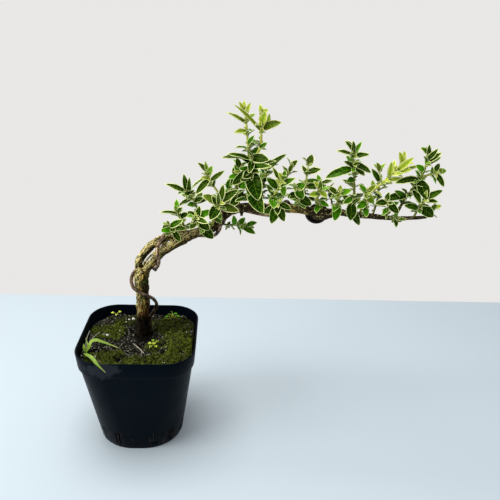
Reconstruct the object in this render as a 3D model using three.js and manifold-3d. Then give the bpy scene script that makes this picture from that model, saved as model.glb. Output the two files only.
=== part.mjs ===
// Serissa bonsai in a square nursery pot.
// Millimetres, +Z up, +X along the branch to the right, +Y to the back.
// The origin is the centre of the pot's underside.
import * as THREE from 'three';
import { mergeVertices } from 'three/addons/utils/BufferGeometryUtils.js';
import Module from 'manifold-3d';

const wasm = await Module();
wasm.setup();

// ---------------------------------------------------------------- driving sizes

const GAP = 0.3;
const SLIVER = 0.03;
// Holes that stems stand in are cut from here down.
const ABOVE_ALL = 120;

const POT = {
  height: 97,
  rimHalf: 50,
  rimCorner: 25,
  rimBand: 14.5,
  rimProud: 1.3,
  lipRound: 0.6,
  bodyHalf: 47.6,
  bodyCorner: 24.5,
  baseHalf: 37.2,
  baseCorner: 33,
  wall: 1.4,
  floor: 2.4,
  cornerSteps: 6,
};

// Pairs of narrow slits at the foot of the pot, three pairs to each rounded corner.
const SLIT = {
  angles: [19, 44, 69],
  width: 1.3,
  bar: 1.3,
  low: 4.5,
  high: 18,
};

// Round drainage holes in the floor stand round its solid centre.
const DRAIN = { radius: 4, ring: 21, count: 4 };

const SOIL = {
  level: 88,
  edgeLevel: 88.5,
  rings: 8,
  bump: 1.7,
  footHollow: 2.2,
};

// The trunk, its two strands and the branch: centre line [x, y, z] and radius.
const WOOD = {
  sides: 10,
  holeRadius: 6.9,
  barkDepth: 0.75,
  trunk: [
    [1, 12, 48, 5.7], [1, 12, 70, 5.8], [1, 12, 83, 6.3], [1, 12, 90, 6.1], [1, 12, 98, 5.6],
    [1.5, 12, 113, 5.5], [2, 11, 129, 5.5], [1.2, 10, 140, 5.8], [2, 10, 149, 5.9], [4, 9.5, 155, 4.9],
  ],
  upperStrand: [
    [1.2, 10.5, 147, 3.8], [-0.6, 11.5, 157.5, 3.4], [3.4, 12, 166, 3.4], [8.4, 12.5, 172.5, 3.5],
    [13.6, 12.5, 176.8, 3.7], [19.1, 12.3, 180.4, 3.7], [24.7, 12, 182.7, 3.5], [32, 11, 185.5, 3.2],
    [40, 9.5, 187.2, 3], [48, 8.5, 188.5, 3],
  ],
  lowerStrand: [
    [3, 9.5, 147, 4], [8, 8, 156.5, 3.6], [12.5, 7.5, 161.8, 3.5], [18.6, 7, 169.6, 3.6],
    [25.1, 6.5, 175, 3.8], [32, 6.5, 180, 4], [39, 7.5, 183.5, 4.2],
  ],
  branch: [
    [36, 7.5, 181.5, 3.6], [42, 8, 185.5, 4.1], [49, 8, 188.5, 4], [58, 8, 191.5, 3.9], [66, 7, 197.5, 3.8],
    [72, 6, 206, 3.8], [80, 5, 211, 3.7], [93, 5, 213.5, 3.5], [109, 5, 213, 3.4],
    [125, 5, 213, 3.2], [141, 4, 211.6, 3.4], [149.5, 4, 209.8, 4.8], [156.5, 4, 209.8, 4.6],
    [163, 4, 211.8, 2.9], [171, 3, 211, 2.5], [190, 2, 209.5, 2.2], [213, 1, 208.5, 1.8],
    [227, 0, 209.5, 1.6], [238, 0, 210.5, 1.2],
  ],
  rootlet: [
    [3.3, 8.5, 157.5, 0.9], [6, 9.5, 161.7, 0.8], [12.9, 9.5, 169.2, 0.8], [19.5, 9.5, 175.2, 0.8],
    [26, 9.8, 182, 0.9],
  ],
  stub: [[86, 5, 212, 1.6], [85.6, 3.6, 208.5, 1.4], [85.3, 2.8, 206.3, 1.2]],
};

// The wire leaves the soil behind the trunk, crosses its front, turns behind it and climbs
// between the strands. Along the branch it winds on: [x, turn in degrees, stand-off], where
// 0 degrees is the front and 90 is the top.
const WIRE = {
  radius: 1.5,
  sides: 6,
  step: 5,
  climb: [
    [6, 20, 60], [6, 20, 84], [6.6, 20, 100.7], [8.3, 20, 103.8], [10.3, 19, 107.5], [12.6, 17, 112.1],
    [13.4, 14, 117.8], [12.2, 10, 123.6], [9.7, 6, 128.4], [6.7, 3.2, 131.2], [2.6, 2.6, 133.7],
    [-1.3, 3.5, 136.5], [-4.2, 6, 139], [-5.7, 8.5, 142.1], [-5.9, 11, 145.2], [-4.8, 14, 148.1],
    [-1, 18.5, 151], [4, 20, 152.8], [9, 14.5, 153.5], [12, 9.5, 154.3], [14, 4.5, 156], [16.3, 1.3, 159.8],
    [18, -0.3, 164.6], [17.5, -0.6, 168.9], [16.8, 0.8, 172.8], [16.6, 3.2, 176], [17.4, 4.8, 179],
    [19.5, 5.6, 182.5], [22.6, 7.5, 186], [25, 12, 188.7], [28, 16.6, 188], [32, 17.4, 187], [36.5, 16, 186],
  ],
  wind: [
    [43, 198, 0.3], [51, 226, 0.3], [59, 268, 0.2], [66, 328, 0.2], [72, 398, 0.3],
    [76, 440, 0.3], [80, 500, 0.3], [84, 560, 0.3], [93, 600, 0.3], [107, 640, 0.3], [112, 690, 0.3],
    [117, 745, 0.3], [122, 830, 0.3], [127, 890, 0.3], [131, 905, 0.5],
  ],
  // The spare end is curled flat against the back of the branch.
  coil: { centre: [149, 10.8, 208.2], outer: 9.2, inner: 4.4, from: 150, to: 800 },
};

// Blades of the grass weed: centre line points and the widest width.
const GRASS = {
  thickness: 0.8,
  root: [[-43, -21, 73], [-43, -21, 90]],
  rootRadius: 1.3,
  blades: [
    {
      path: [[-43, -21, 88.5], [-40.4, -20, 92], [-36.4, -18, 98.4], [-29, -18, 97.2], [-15.2, -19, 92.4]],
      width: 5,
    },
    { path: [[-43, -21, 88], [-44.2, -20, 92.5], [-44.8, -17.5, 95.5]], width: 2.4 },
    {
      path: [[-43, -21, 88.5], [-40, -30, 92.6], [-32.5, -42, 97.4], [-26.5, -52, 98.6], [-19.5, -55, 93]],
      width: 3.4,
    },
    { path: [[-43.3, -21, 88], [-41.8, -17, 92.4], [-44.6, -11, 97]], width: 1.6 },
  ],
};

const TWIG = {
  path: [[-5.4, -7.1, 0], [0.8, -14.6, 0.3], [6.2, -22.3, 0]],
  radius: 0.6,
  lift: 0.8,
  sides: 6,
};

const LEAF = {
  thickness: 0.9,
  // The leaf's foot is a point this far off the stem's middle, still inside it.
  foot: 0.15,
  rise: 22,
  droop: 24,
  coarseUnder: 13,
};

// How the pairs stand: their lean off the stem at its foot and its tip, how far each leaf strays
// in lean and turn, its length against the stem's leaf size, and its width against its length.
const PAIR = {
  leanFoot: 64,
  leanTip: 30,
  strayLean: 18,
  strayTurn: 0.6,
  long: 0.98,
  longStray: 0.34,
  wide: 0.45,
  wideStray: 0.1,
};

// How the shoots keep clear of each other: sample points nearer than this are too near.
const CLEAR = { leaf: 1.7, stem: 1.0, own: 1.5, wood: 1.2, turn: 21, lift: 9 };

// Every shoot: its stems, the pairs of leaves on them and the leaves marked one by one.
// A marked leaf is [place on the stem, tip x, tip y, tip z, width, face], where face turns its
// upper side from the sky (0) to the front (90).
const SHOOTS = [
  {
    name: 'spray_fork_tuft',
    seed: 3,
    stems: [
      {
        path: [[32, 9, 185], [30, 3, 192], [27, -2, 198]],
        girth: [0.9, 0.6], pairs: 3, start: 0.45, leaf: [8, 8],
        marked: [
          [0.8, 21, -5, 194, 7.2, 60],
          [1, 25, -4, 203, 3.3, 30],
          [0.75, 42, 0, 195, 4.4, 55],
          [0.5, 36, -1, 184, 5.5, 60],
          [0.9, 39, -6, 205, 5.5, 60],
        ],
      },
    ],
  },
  {
    name: 'spray_west_low',
    seed: 108,
    stems: [
      {
        path: [[40, 12, 184], [37, 11, 197], [33, 8, 207]],
        girth: [1, 0.6], pairs: 4, start: 0.3, leaf: [9, 8],
        marked: [
          [0.85, 19, 4, 207, 5.0, 20],
          [1, 31, 8, 213, 3.9, 60],
          [0.7, 43, 6, 206, 5.5, 50],
          [0.95, 38, 4, 213, 4.4, 60],
        ],
      },
    ],
  },
  {
    name: 'spray_west_mid',
    seed: 115,
    stems: [
      {
        path: [[51, 13, 188], [48, 14, 211], [41, 12, 222]],
        girth: [1, 0.6], pairs: 4, start: 0.3, leaf: [10, 8],
        marked: [
          [0.95, 23, 8, 230, 6.1, 35],
          [1, 38, 12, 238, 5.0, 60],
          [0.92, 43, 9, 237, 3.9, 70],
          [0.7, 34, 8, 211, 5.0, 25],
          [0.5, 41, 6, 213, 5.5, 50],
          [0.6, 55, 8, 219, 5.5, 50],
          [0.55, 61, 10, 220, 4.4, 60],
        ],
      },
    ],
  },
  {
    name: 'spray_west_high',
    seed: 122,
    stems: [
      {
        path: [[65, 10, 197], [69, 12, 216], [60, 14, 231], [57, 14, 239]],
        girth: [1.1, 0.6], pairs: 4, start: 0.35, leaf: [10, 7],
        marked: [
          [1, 49, 13, 247, 4.4, 40],
          [0.96, 55, 15, 249, 3.3, 60],
          [0.92, 61, 11, 246, 5.0, 70],
          [0.7, 71, 10, 242, 4.4, 70],
          [0.75, 48, 8, 222, 6.1, 50],
          [0.85, 43, 14, 223, 3.9, 20],
        ],
      },
    ],
  },
  {
    name: 'spray_west_front',
    seed: 129,
    stems: [
      {
        path: [[54, 4, 193], [51, -5, 201], [49, -9, 208]],
        girth: [0.9, 0.6], pairs: 4, start: 0.4, leaf: [8, 8],
        marked: [
          [0.3, 63, -2, 188, 8.2, 60],
          [0.9, 52, -8, 218, 5.5, 60],
          [1, 62, -10, 214, 6.1, 60],
          [0.96, 42, -11, 212, 5.5, 50],
          [0.85, 60, -9, 198, 7.7, 65],
          [0.8, 44, -8, 198, 5.0, 70],
          [0.94, 59, -11, 207, 5.0, 60],
        ],
      },
    ],
  },
  {
    name: 'spray_rosette',
    seed: 136,
    stems: [
      {
        path: [[62, 6, 195], [63, -3, 208], [68, -9, 222]],
        girth: [1, 0.6], pairs: 4, start: 0.4, leaf: [9, 9],
        marked: [
          [1, 70, -8, 236, 5.5, 75],
          [0.96, 82, -8, 232, 6.6, 55],
          [0.9, 60, -13, 208, 8.8, 65],
          [0.86, 83, -11, 215, 7.2, 60],
          [0.92, 54, -7, 226, 7.2, 50],
          [0.88, 66, -12, 232, 3.9, 60],
          [0.84, 61, -11, 227, 5.0, 60],
        ],
      },
    ],
  },
  {
    name: 'spray_under_twig',
    seed: 143,
    stems: [
      {
        path: [[69, 10, 196], [78, 12, 195], [90, 12, 194]],
        girth: [0.8, 0.5], pairs: 3, start: 0.35, leaf: [8, 8],
        marked: [
          [0.6, 79, 8, 205, 5.0, 40],
          [1, 99, 8, 199, 5.5, 40],
          [0.85, 98, 8, 189, 5.5, 60],
        ],
      },
    ],
  },
  {
    name: 'spray_leader',
    seed: 150,
    stems: [
      {
        path: [[93, 6, 214], [91, 5, 236], [92, 5, 254]],
        girth: [1.5, 1.1], pairs: 5, start: 0.12, leaf: [12, 11],
        marked: [
          [0.72, 98, -7, 223, 13.2, 88],
          [0.35, 102, -9, 213, 12.1, 85],
          [0.98, 68, 2, 254, 6.1, 25],
          [1, 105, -5, 255, 8.8, 60],
          [0.95, 72, -4, 258, 5.5, 30],
          [0.88, 83, -5, 255, 6.6, 40],
          [0.84, 111, -2, 254, 3.9, 55],
          [0.8, 107, -5, 251, 5.5, 60],
          [0.92, 90, -5, 245, 5.5, 65],
          [0.55, 83, -6, 238, 5.5, 50],
          [0.76, 77, 2, 231, 7.7, 80],
          [0.68, 85, -3, 240, 7.2, 75],
          [0.45, 90, -6, 226, 6.1, 80],
        ],
      },
      {
        path: [[92, 5, 249], [89, 6, 262], [87, 5, 277], [85, 4, 290]],
        girth: [1.1, 0.7], pairs: 4, start: 0.3, leaf: [9, 8],
        marked: [
          [0.75, 71, 2, 289, 4.4, 35],
          [0.62, 77, 0, 274, 5.0, 40],
          [1, 80, 3, 297, 3.9, 50],
          [0.96, 84, 5, 298, 3.3, 60],
          [0.92, 89, 2, 297, 3.9, 60],
          [0.4, 93, 0, 273, 3.9, 60],
        ],
      },
      {
        path: [[92, 5, 252], [98, 3, 263], [98, 1, 278], [98, 0, 289]],
        girth: [1.2, 0.7], pairs: 3, start: 0.35, leaf: [9, 8],
        marked: [
          [0.6, 76, -3, 296, 4.0, 40],
          [0.65, 113, -3, 284, 7.2, 50],
          [1, 102, -2, 293, 5.0, 60],
          [0.96, 96, 0, 296, 3.9, 60],
          [0.8, 100, -5, 292, 6.6, 60],
          [0.3, 103, -1, 268, 4.4, 60],
        ],
      },
    ],
  },
  {
    name: 'spray_centre_left',
    seed: 157,
    stems: [
      {
        path: [[84, 8, 211], [82, 14, 225], [83, 16, 243]],
        girth: [1, 0.6], pairs: 6, start: 0.2, leaf: [11, 9],
        marked: [
          [1, 80, 14, 252, 5.0, 60],
          [0.8, 74, 10, 236, 5.5, 50],
          [0.5, 72, 8, 221, 6.6, 60],
          [0.9, 76, 11, 228, 6.1, 55],
          [0.3, 75, 5, 215, 7.2, 70],
          [0.35, 92, 11, 218, 6.6, 60],
          [0.72, 78, 12, 242, 6.1, 60],
          [0.6, 92, 13, 229, 6.6, 60],
          [0.2, 90, 3, 214, 5.5, 70],
        ],
      },
    ],
  },
  {
    name: 'spray_back_west',
    seed: 164,
    stems: [
      {
        path: [[78, 9, 208], [76, 18, 215], [74, 22, 224]],
        girth: [0.9, 0.6], pairs: 4, start: 0.3, leaf: [9, 8],
        marked: [
          [0.6, 67, 15, 213, 6.6, 60],
          [0.7, 84, 21, 217, 6.6, 60],
          [0.95, 76, 22, 232, 6.1, 60],
        ],
      },
    ],
  },
  {
    name: 'spray_back_centre',
    seed: 171,
    stems: [
      {
        path: [[99, 9, 212], [102, 18, 224], [105, 22, 239]],
        girth: [1, 0.6], pairs: 6, start: 0.25, leaf: [11, 10],
        marked: [
          [1, 121, 18, 255, 6.6, 30],
        ],
      },
    ],
  },
  {
    name: 'spray_bud_front',
    seed: 178,
    stems: [
      {
        path: [[107, 4, 214], [110, -4, 226], [116, -9, 241]],
        girth: [1, 0.6], pairs: 5, start: 0.3, leaf: [9, 8],
        marked: [
          [1, 112, -10, 247, 3.9, 60],
          [0.96, 118, -7, 248, 3.9, 70],
          [0.45, 110, -12, 219, 8.2, 80],
          [0.8, 126, -10, 243, 5.5, 50],
          [0.75, 103, -9, 242, 6.6, 60],
          [0.9, 108, -6, 249, 3.9, 60],
          [0.93, 118, -13, 228, 5.5, 75],
        ],
      },
    ],
  },
  {
    name: 'spray_slim',
    seed: 185,
    stems: [
      {
        path: [[115, 8, 213], [119, 15, 227], [125, 18, 244]],
        girth: [0.9, 0.6], pairs: 5, start: 0.25, leaf: [9, 8],
        marked: [
          [1, 130, 16, 251, 4.4, 50],
          [0.9, 126, 17, 249, 3.9, 60],
        ],
      },
    ],
  },
  {
    name: 'spray_hang_mid',
    seed: 192,
    stems: [
      {
        path: [[110, 2, 213], [112, -5, 218], [113, -9, 222]],
        girth: [0.8, 0.6], pairs: 2, start: 0.6, leaf: [9, 9],
        marked: [
          [0.8, 109, -10, 205, 8.2, 80],
          [0.9, 119, -10, 208, 7.2, 80],
          [0.6, 103, -13, 212, 6.6, 75],
          [1, 124, -12, 218, 5.5, 60],
          [0.96, 104, -12, 223, 5.5, 60],
        ],
      },
    ],
  },
  {
    name: 'spray_front_low',
    seed: 9,
    stems: [
      {
        path: [[132, 2, 214], [129, -8, 226], [126, -13, 236]],
        girth: [0.9, 0.6], pairs: 4, start: 0.35, leaf: [9, 8],
        marked: [
          [0.95, 133, -15, 240, 6.6, 60],
          [0.7, 120, -13, 228, 6.1, 65],
          [0.6, 140, -9, 221, 7.7, 70],
          [0.98, 132, -18, 228, 7.7, 70],
        ],
      },
    ],
  },
  {
    name: 'spray_upright',
    seed: 206,
    stems: [
      {
        path: [[128, 5, 214], [135, 4, 229], [137, 4, 250]],
        girth: [1, 0.6], pairs: 5, start: 0.2, leaf: [10, 8],
        marked: [
          [1, 139, 3, 259, 6.1, 60],
          [0.85, 147, 0, 248, 6.1, 50],
          [0.6, 147, 0, 233, 5.5, 60],
          [0.7, 147, 4, 238, 3.9, 60],
          [0.5, 126, 0, 234, 5.5, 50],
        ],
      },
    ],
  },
  {
    name: 'spray_knob',
    seed: 41,
    stems: [
      {
        path: [[152, 4, 211], [146, -2, 221], [146, -6, 232]],
        girth: [0.9, 0.6], pairs: 4, start: 0.35, leaf: [8, 8],
        marked: [
          [1, 152, -10, 228, 5.0, 70],
          [0.9, 138, -6, 228, 5.5, 60],
          [0.6, 155, -5, 219, 4.4, 60],
          [0.96, 146, -6, 241, 3.9, 60],
        ],
      },
    ],
  },
  {
    name: 'spray_mid_back',
    seed: 220,
    stems: [
      {
        path: [[161, 4, 212], [158, 14, 225], [151, 18, 231]],
        girth: [0.8, 0.5], pairs: 4, start: 0.3, leaf: [8, 7],
        marked: [
          [1, 160, 14, 235, 4.4, 40],
        ],
      },
    ],
  },
  {
    name: 'spray_bud_mid',
    seed: 227,
    stems: [
      {
        path: [[163, 2, 213], [162, -4, 222], [161, -8, 231]],
        girth: [0.8, 0.6], pairs: 4, start: 0.35, leaf: [8, 8],
        marked: [
          [1, 162, -8, 238, 3.9, 60],
          [0.4, 160, -8, 208, 7.7, 75],
          [0.96, 171, -8, 234, 5.5, 55],
          [0.92, 151, -8, 236, 5.0, 55],
        ],
      },
    ],
  },
  {
    name: 'spray_hang_right',
    seed: 234,
    stems: [
      {
        path: [[174, 2, 212], [172, -6, 221], [172, -9, 228]],
        girth: [0.8, 0.6], pairs: 2, start: 0.5, leaf: [9, 8],
        marked: [
          [0.7, 172, -12, 210, 8.8, 80],
          [0.3, 182, -3, 203, 6.6, 70],
          [1, 163, -14, 225, 5.5, 65],
        ],
      },
    ],
  },
  {
    name: 'spray_tall_mid',
    seed: 5,
    stems: [
      {
        path: [[179, 4, 211], [176, 5, 233], [174, 6, 250], [172, 6, 262]],
        girth: [1.1, 0.6], pairs: 6, start: 0.15, leaf: [11, 8],
        marked: [
          [0.62, 151, 2, 240, 8.2, 40],
          [1, 164, 5, 270, 3.9, 50],
          [0.96, 170, 7, 271, 3.9, 60],
          [0.92, 178, 5, 270, 3.9, 50],
          [0.89, 158, 4, 262, 5.0, 35],
          [0.86, 185, 4, 260, 5.0, 45],
          [0.7, 187, 0, 246, 6.6, 40],
          [0.66, 183, -2, 243, 5.5, 60],
          [0.45, 168, 0, 238, 5.5, 60],
        ],
      },
    ],
  },
  {
    name: 'spray_cluster',
    seed: 248,
    stems: [
      {
        path: [[186, 2, 210], [184, -6, 222], [183, -10, 233]],
        girth: [0.9, 0.6], pairs: 4, start: 0.3, leaf: [9, 8],
        marked: [
          [1, 189, -11, 240, 4.4, 60],
          [0.96, 175, -11, 240, 4.4, 60],
          [0.6, 175, -12, 221, 6.1, 65],
          [0.85, 189, -12, 225, 6.1, 70],
        ],
      },
    ],
  },
  {
    name: 'spray_back_right',
    seed: 255,
    stems: [
      {
        path: [[194, 4, 209], [199, 13, 223], [199, 17, 243]],
        girth: [0.9, 0.6], pairs: 5, start: 0.25, leaf: [9, 7],
        marked: [
          [1, 195, 16, 251, 4.4, 60],
          [0.8, 191, 15, 246, 5.0, 60],
        ],
      },
    ],
  },
  {
    name: 'spray_yellow',
    seed: 262,
    stems: [
      {
        path: [[183, 4, 210], [187, 6, 224], [197, 4, 236], [212, 0, 253]],
        girth: [1.1, 0.7], pairs: 5, start: 0.35, leaf: [9, 8],
        marked: [
          [1, 207, 0, 264, 5.5, 60],
          [0.96, 213, 2, 264, 5.0, 60],
          [0.92, 216, -2, 262, 5.5, 60],
          [0.88, 218, -4, 251, 6.1, 50],
          [0.84, 229, 2, 253, 3.9, 30],
          [0.8, 202, 0, 256, 5.5, 60],
          [0.75, 215, 1, 242, 3.9, 60],
        ],
      },
    ],
  },
  {
    name: 'spray_tall_right',
    seed: 269,
    stems: [
      {
        path: [[213, 1, 213], [217, 1, 223], [224, 0, 237], [229, -1, 249], [230, -1, 263]],
        girth: [1.3, 0.7], pairs: 7, start: 0.2, leaf: [10, 7],
        marked: [
          [1, 223, -1, 268, 4.4, 50],
          [0.96, 229, 0, 271, 3.9, 60],
          [0.92, 235, -2, 269, 4.4, 60],
          [0.88, 240, -3, 265, 5.0, 50],
          [0.85, 241, -4, 261, 4.4, 40],
          [0.62, 206, -3, 239, 6.6, 40],
          [0.6, 232, -8, 228, 9.9, 85],
          [0.35, 199, -4, 225, 7.7, 40],
          [0.5, 198, -6, 237, 5.5, 50],
          [0.3, 207, -5, 233, 5.5, 60],
          [0.75, 221, -2, 254, 5.5, 60],
          [0.45, 228, -9, 224, 5.5, 70],
        ],
      },
      {
        path: [[227, -1, 244], [233, -5, 248], [238, -7, 250]],
        girth: [0.9, 0.6], pairs: 2, start: 0.5, leaf: [8, 7],
        marked: [
          [1, 244, -8, 252, 5.0, 50],
          [0.8, 244, -9, 239, 5.5, 60],
          [0.7, 240, -4, 256, 4.4, 50],
        ],
      },
    ],
  },
  {
    name: 'spray_arch_left',
    seed: 276,
    stems: [
      {
        path: [[205, 2, 209], [203, -6, 219], [200, -9, 225]],
        girth: [0.8, 0.5], pairs: 3, start: 0.5, leaf: [8, 7],
        marked: [
          [1, 189, -12, 225, 6.1, 50],
          [0.9, 210, -12, 217, 6.6, 60],
        ],
      },
    ],
  },
  {
    name: 'spray_low_right',
    seed: 283,
    stems: [
      {
        path: [[227, 0, 210], [229, -5, 221], [231, -8, 228]],
        girth: [0.9, 0.6], pairs: 4, start: 0.35, leaf: [8, 7],
        marked: [
          [0.5, 240, -9, 214, 9.4, 70],
          [1, 244, -8, 236, 5.5, 45],
          [0.9, 241, -11, 227, 4.4, 45],
          [0.4, 215, -7, 222, 6.1, 55],
        ],
      },
    ],
  },
  {
    name: 'spray_end_tuft',
    seed: 12,
    stems: [
      {
        path: [[236, 1, 210], [241, 4, 213], [245, 6, 216]],
        girth: [0.8, 0.5], pairs: 3, start: 0.5, leaf: [7, 6],
        marked: [
          [1, 251, 5, 219, 4.4, 40],
        ],
      },
    ],
  },
  {
    name: 'spray_drip',
    seed: 21,
    stems: [
      {
        path: [[210, 2, 208], [210, -3, 210], [211, -7, 211]],
        girth: [0.7, 0.5], pairs: 2, start: 0.65, leaf: [7, 6],
        marked: [
          [0.9, 215, -8, 209, 5.5, 50],
        ],
      },
    ],
  },
];

// ---------------------------------------------------------------- numbers and curves

function randomFrom(seed) {
  let state = seed >>> 0;
  return () => {
    state = (state + 0x6d2b79f5) >>> 0;
    let t = state;
    t = Math.imul(t ^ (t >>> 15), t | 1);
    t ^= t + Math.imul(t ^ (t >>> 7), t | 61);
    return ((t ^ (t >>> 14)) >>> 0) / 4294967296;
  };
}

const radians = (degrees) => (degrees * Math.PI) / 180;
const mix = (a, b, t) => a + (b - a) * t;
const point = (knot) => new THREE.Vector3(knot[0], knot[1], knot[2]);

// Uniform Catmull-Rom curve through knots of any width, end knots mirrored; t runs from 0 to 1.
function along(knots, t) {
  const spans = knots.length - 1;
  const place = Math.min(Math.max(t, 0), 1) * spans;
  const i = Math.min(Math.floor(place), spans - 1);
  const u = place - i;
  const b = knots[i];
  const c = knots[i + 1];
  const a = i > 0 ? knots[i - 1] : b.map((v, k) => 2 * v - c[k]);
  const d = i + 2 < knots.length ? knots[i + 2] : c.map((v, k) => 2 * v - b[k]);
  return b.map((v, k) => {
    const linear = c[k] - a[k];
    const square = 2 * a[k] - 5 * v + 4 * c[k] - d[k];
    const cube = 3 * v - a[k] - 3 * c[k] + d[k];
    return v + 0.5 * u * (linear + u * (square + u * cube));
  });
}

function tangentAt(knots, t) {
  const h = 0.01;
  const before = point(along(knots, Math.max(t - h, 0)));
  const after = point(along(knots, Math.min(t + h, 1)));
  return after.sub(before).normalize();
}

// The part of vector v that is square to the unit vector axis, at unit length.
function squareTo(v, axis) {
  return v.clone().addScaledVector(axis, -v.dot(axis)).normalize();
}

// Distance from p to the polyline of [x, y, z, radius] stations, less the radius there.
function clearanceFrom(p, stations) {
  let best = { gap: Infinity, foot: null };
  for (let i = 0; i + 1 < stations.length; i += 1) {
    const a = point(stations[i]);
    const ab = point(stations[i + 1]).sub(a);
    const u = Math.min(Math.max(p.clone().sub(a).dot(ab) / ab.lengthSq(), 0), 1);
    const foot = a.addScaledVector(ab, u);
    const gap = foot.distanceTo(p) - mix(stations[i][3], stations[i + 1][3], u);
    if (gap < best.gap) {
      best = { gap, foot };
    }
  }
  return best;
}

function sampled(knots, count) {
  return Array.from({ length: count }, (_, i) => along(knots, i / (count - 1)));
}

// ---------------------------------------------------------------- closed meshes

function closedMesh(vertices, triangles) {
  const geometry = new THREE.BufferGeometry();
  const numbers = vertices.flatMap((v) => [v.x, v.y, v.z]);
  geometry.setAttribute('position', new THREE.Float32BufferAttribute(numbers, 3));
  geometry.setIndex(triangles.flat());
  return geometry;
}

// Skin over rings of points that run anticlockwise about the way the rings follow each other.
// A ring may be a single point. Both ends are closed.
function skin(rings) {
  const vertices = rings.flat();
  const starts = [];
  let total = 0;
  rings.forEach((ring) => {
    starts.push(total);
    total += ring.length;
  });
  const triangles = [];
  for (let r = 0; r + 1 < rings.length; r += 1) {
    const a = starts[r];
    const b = starts[r + 1];
    const na = rings[r].length;
    const nb = rings[r + 1].length;
    for (let i = 0; i < Math.max(na, nb); i += 1) {
      const j = (i + 1) % Math.max(na, nb);
      if (na === nb) {
        triangles.push([a + i, a + j, b + j], [a + i, b + j, b + i]);
      } else if (nb === 1) {
        triangles.push([a + i, a + j, b]);
      } else {
        triangles.push([a, b + j, b + i]);
      }
    }
  }
  const first = rings[0].length;
  for (let i = 1; i + 1 < first; i += 1) {
    triangles.push([0, i + 1, i]);
  }
  const last = rings[rings.length - 1].length;
  const s = starts[rings.length - 1];
  for (let i = 1; i + 1 < last; i += 1) {
    triangles.push([s, s + i, s + i + 1]);
  }
  return closedMesh(vertices, triangles);
}

// Tube over [x, y, z, radius] stations; ripple(station, side) scales the radius.
function tube(stations, sides, ripple = () => 1) {
  const centres = stations.map(point);
  let normal = null;
  const rings = centres.map((centre, i) => {
    const from = centres[Math.max(i - 1, 0)];
    const to = centres[Math.min(i + 1, centres.length - 1)];
    const axis = to.clone().sub(from).normalize();
    const across = Math.abs(axis.z) > 0.7 ? new THREE.Vector3(1, 0, 0) : new THREE.Vector3(0, 0, 1);
    const guide = normal ?? across;
    normal = squareTo(guide, axis);
    const other = axis.clone().cross(normal);
    return Array.from({ length: sides }, (_, k) => {
      const turn = (k / sides) * 2 * Math.PI;
      const radius = stations[i][3] * ripple(i, k);
      return centre.clone()
        .addScaledVector(normal, radius * Math.cos(turn))
        .addScaledVector(other, radius * Math.sin(turn));
    });
  });
  return skin(rings);
}

function toSolid(geometry) {
  const bare = geometry.clone();
  bare.deleteAttribute('normal');
  bare.deleteAttribute('uv');
  const merged = mergeVertices(bare, 1e-5);
  return new wasm.Manifold(new wasm.Mesh({
    numProp: 3,
    vertProperties: new Float32Array(merged.getAttribute('position').array),
    triVerts: new Uint32Array(merged.getIndex().array),
  }));
}

function toGeometry(solid) {
  const mesh = solid.getMesh();
  const geometry = new THREE.BufferGeometry();
  geometry.setAttribute('position', new THREE.BufferAttribute(new Float32Array(mesh.vertProperties), 3));
  geometry.setIndex(new THREE.BufferAttribute(new Uint32Array(mesh.triVerts), 1));
  return geometry;
}

// Joins the pieces, smooths away slivers and keeps the largest body, so that no scrap stays.
function fused(pieces) {
  const whole = pieces.reduce((sum, piece) => sum.add(piece));
  const bodies = whole.asOriginal().simplify(SLIVER).decompose();
  return bodies.reduce((best, body) => (body.volume() > best.volume() ? body : best));
}

function uprightCylinder(radius, low, high, x, y, sides) {
  const geometry = new THREE.CylinderGeometry(radius, radius, high - low, sides);
  geometry.rotateX(Math.PI / 2);
  geometry.translate(x, y, (low + high) / 2);
  return toSolid(geometry);
}

// ---------------------------------------------------------------- pot

function roundedSquare(half, corner, z, scale = 1) {
  const ring = [];
  for (let quarter = 0; quarter < 4; quarter += 1) {
    const middle = radians(45 + 90 * quarter);
    const centreX = Math.sign(Math.cos(middle)) * (half - corner);
    const centreY = Math.sign(Math.sin(middle)) * (half - corner);
    for (let step = 0; step <= POT.cornerSteps; step += 1) {
      const turn = radians(90 * (quarter + step / POT.cornerSteps));
      const x = centreX + corner * Math.cos(turn);
      const y = centreY + corner * Math.sin(turn);
      ring.push(new THREE.Vector3(x * scale, y * scale, z));
    }
  }
  return ring;
}

const ledge = POT.height - POT.rimBand;

// Half width and corner radius of the pot's outside below the rim band.
function bodyAt(z) {
  const t = z / ledge;
  return { half: mix(POT.baseHalf, POT.bodyHalf, t), corner: mix(POT.baseCorner, POT.bodyCorner, t) };
}

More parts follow.
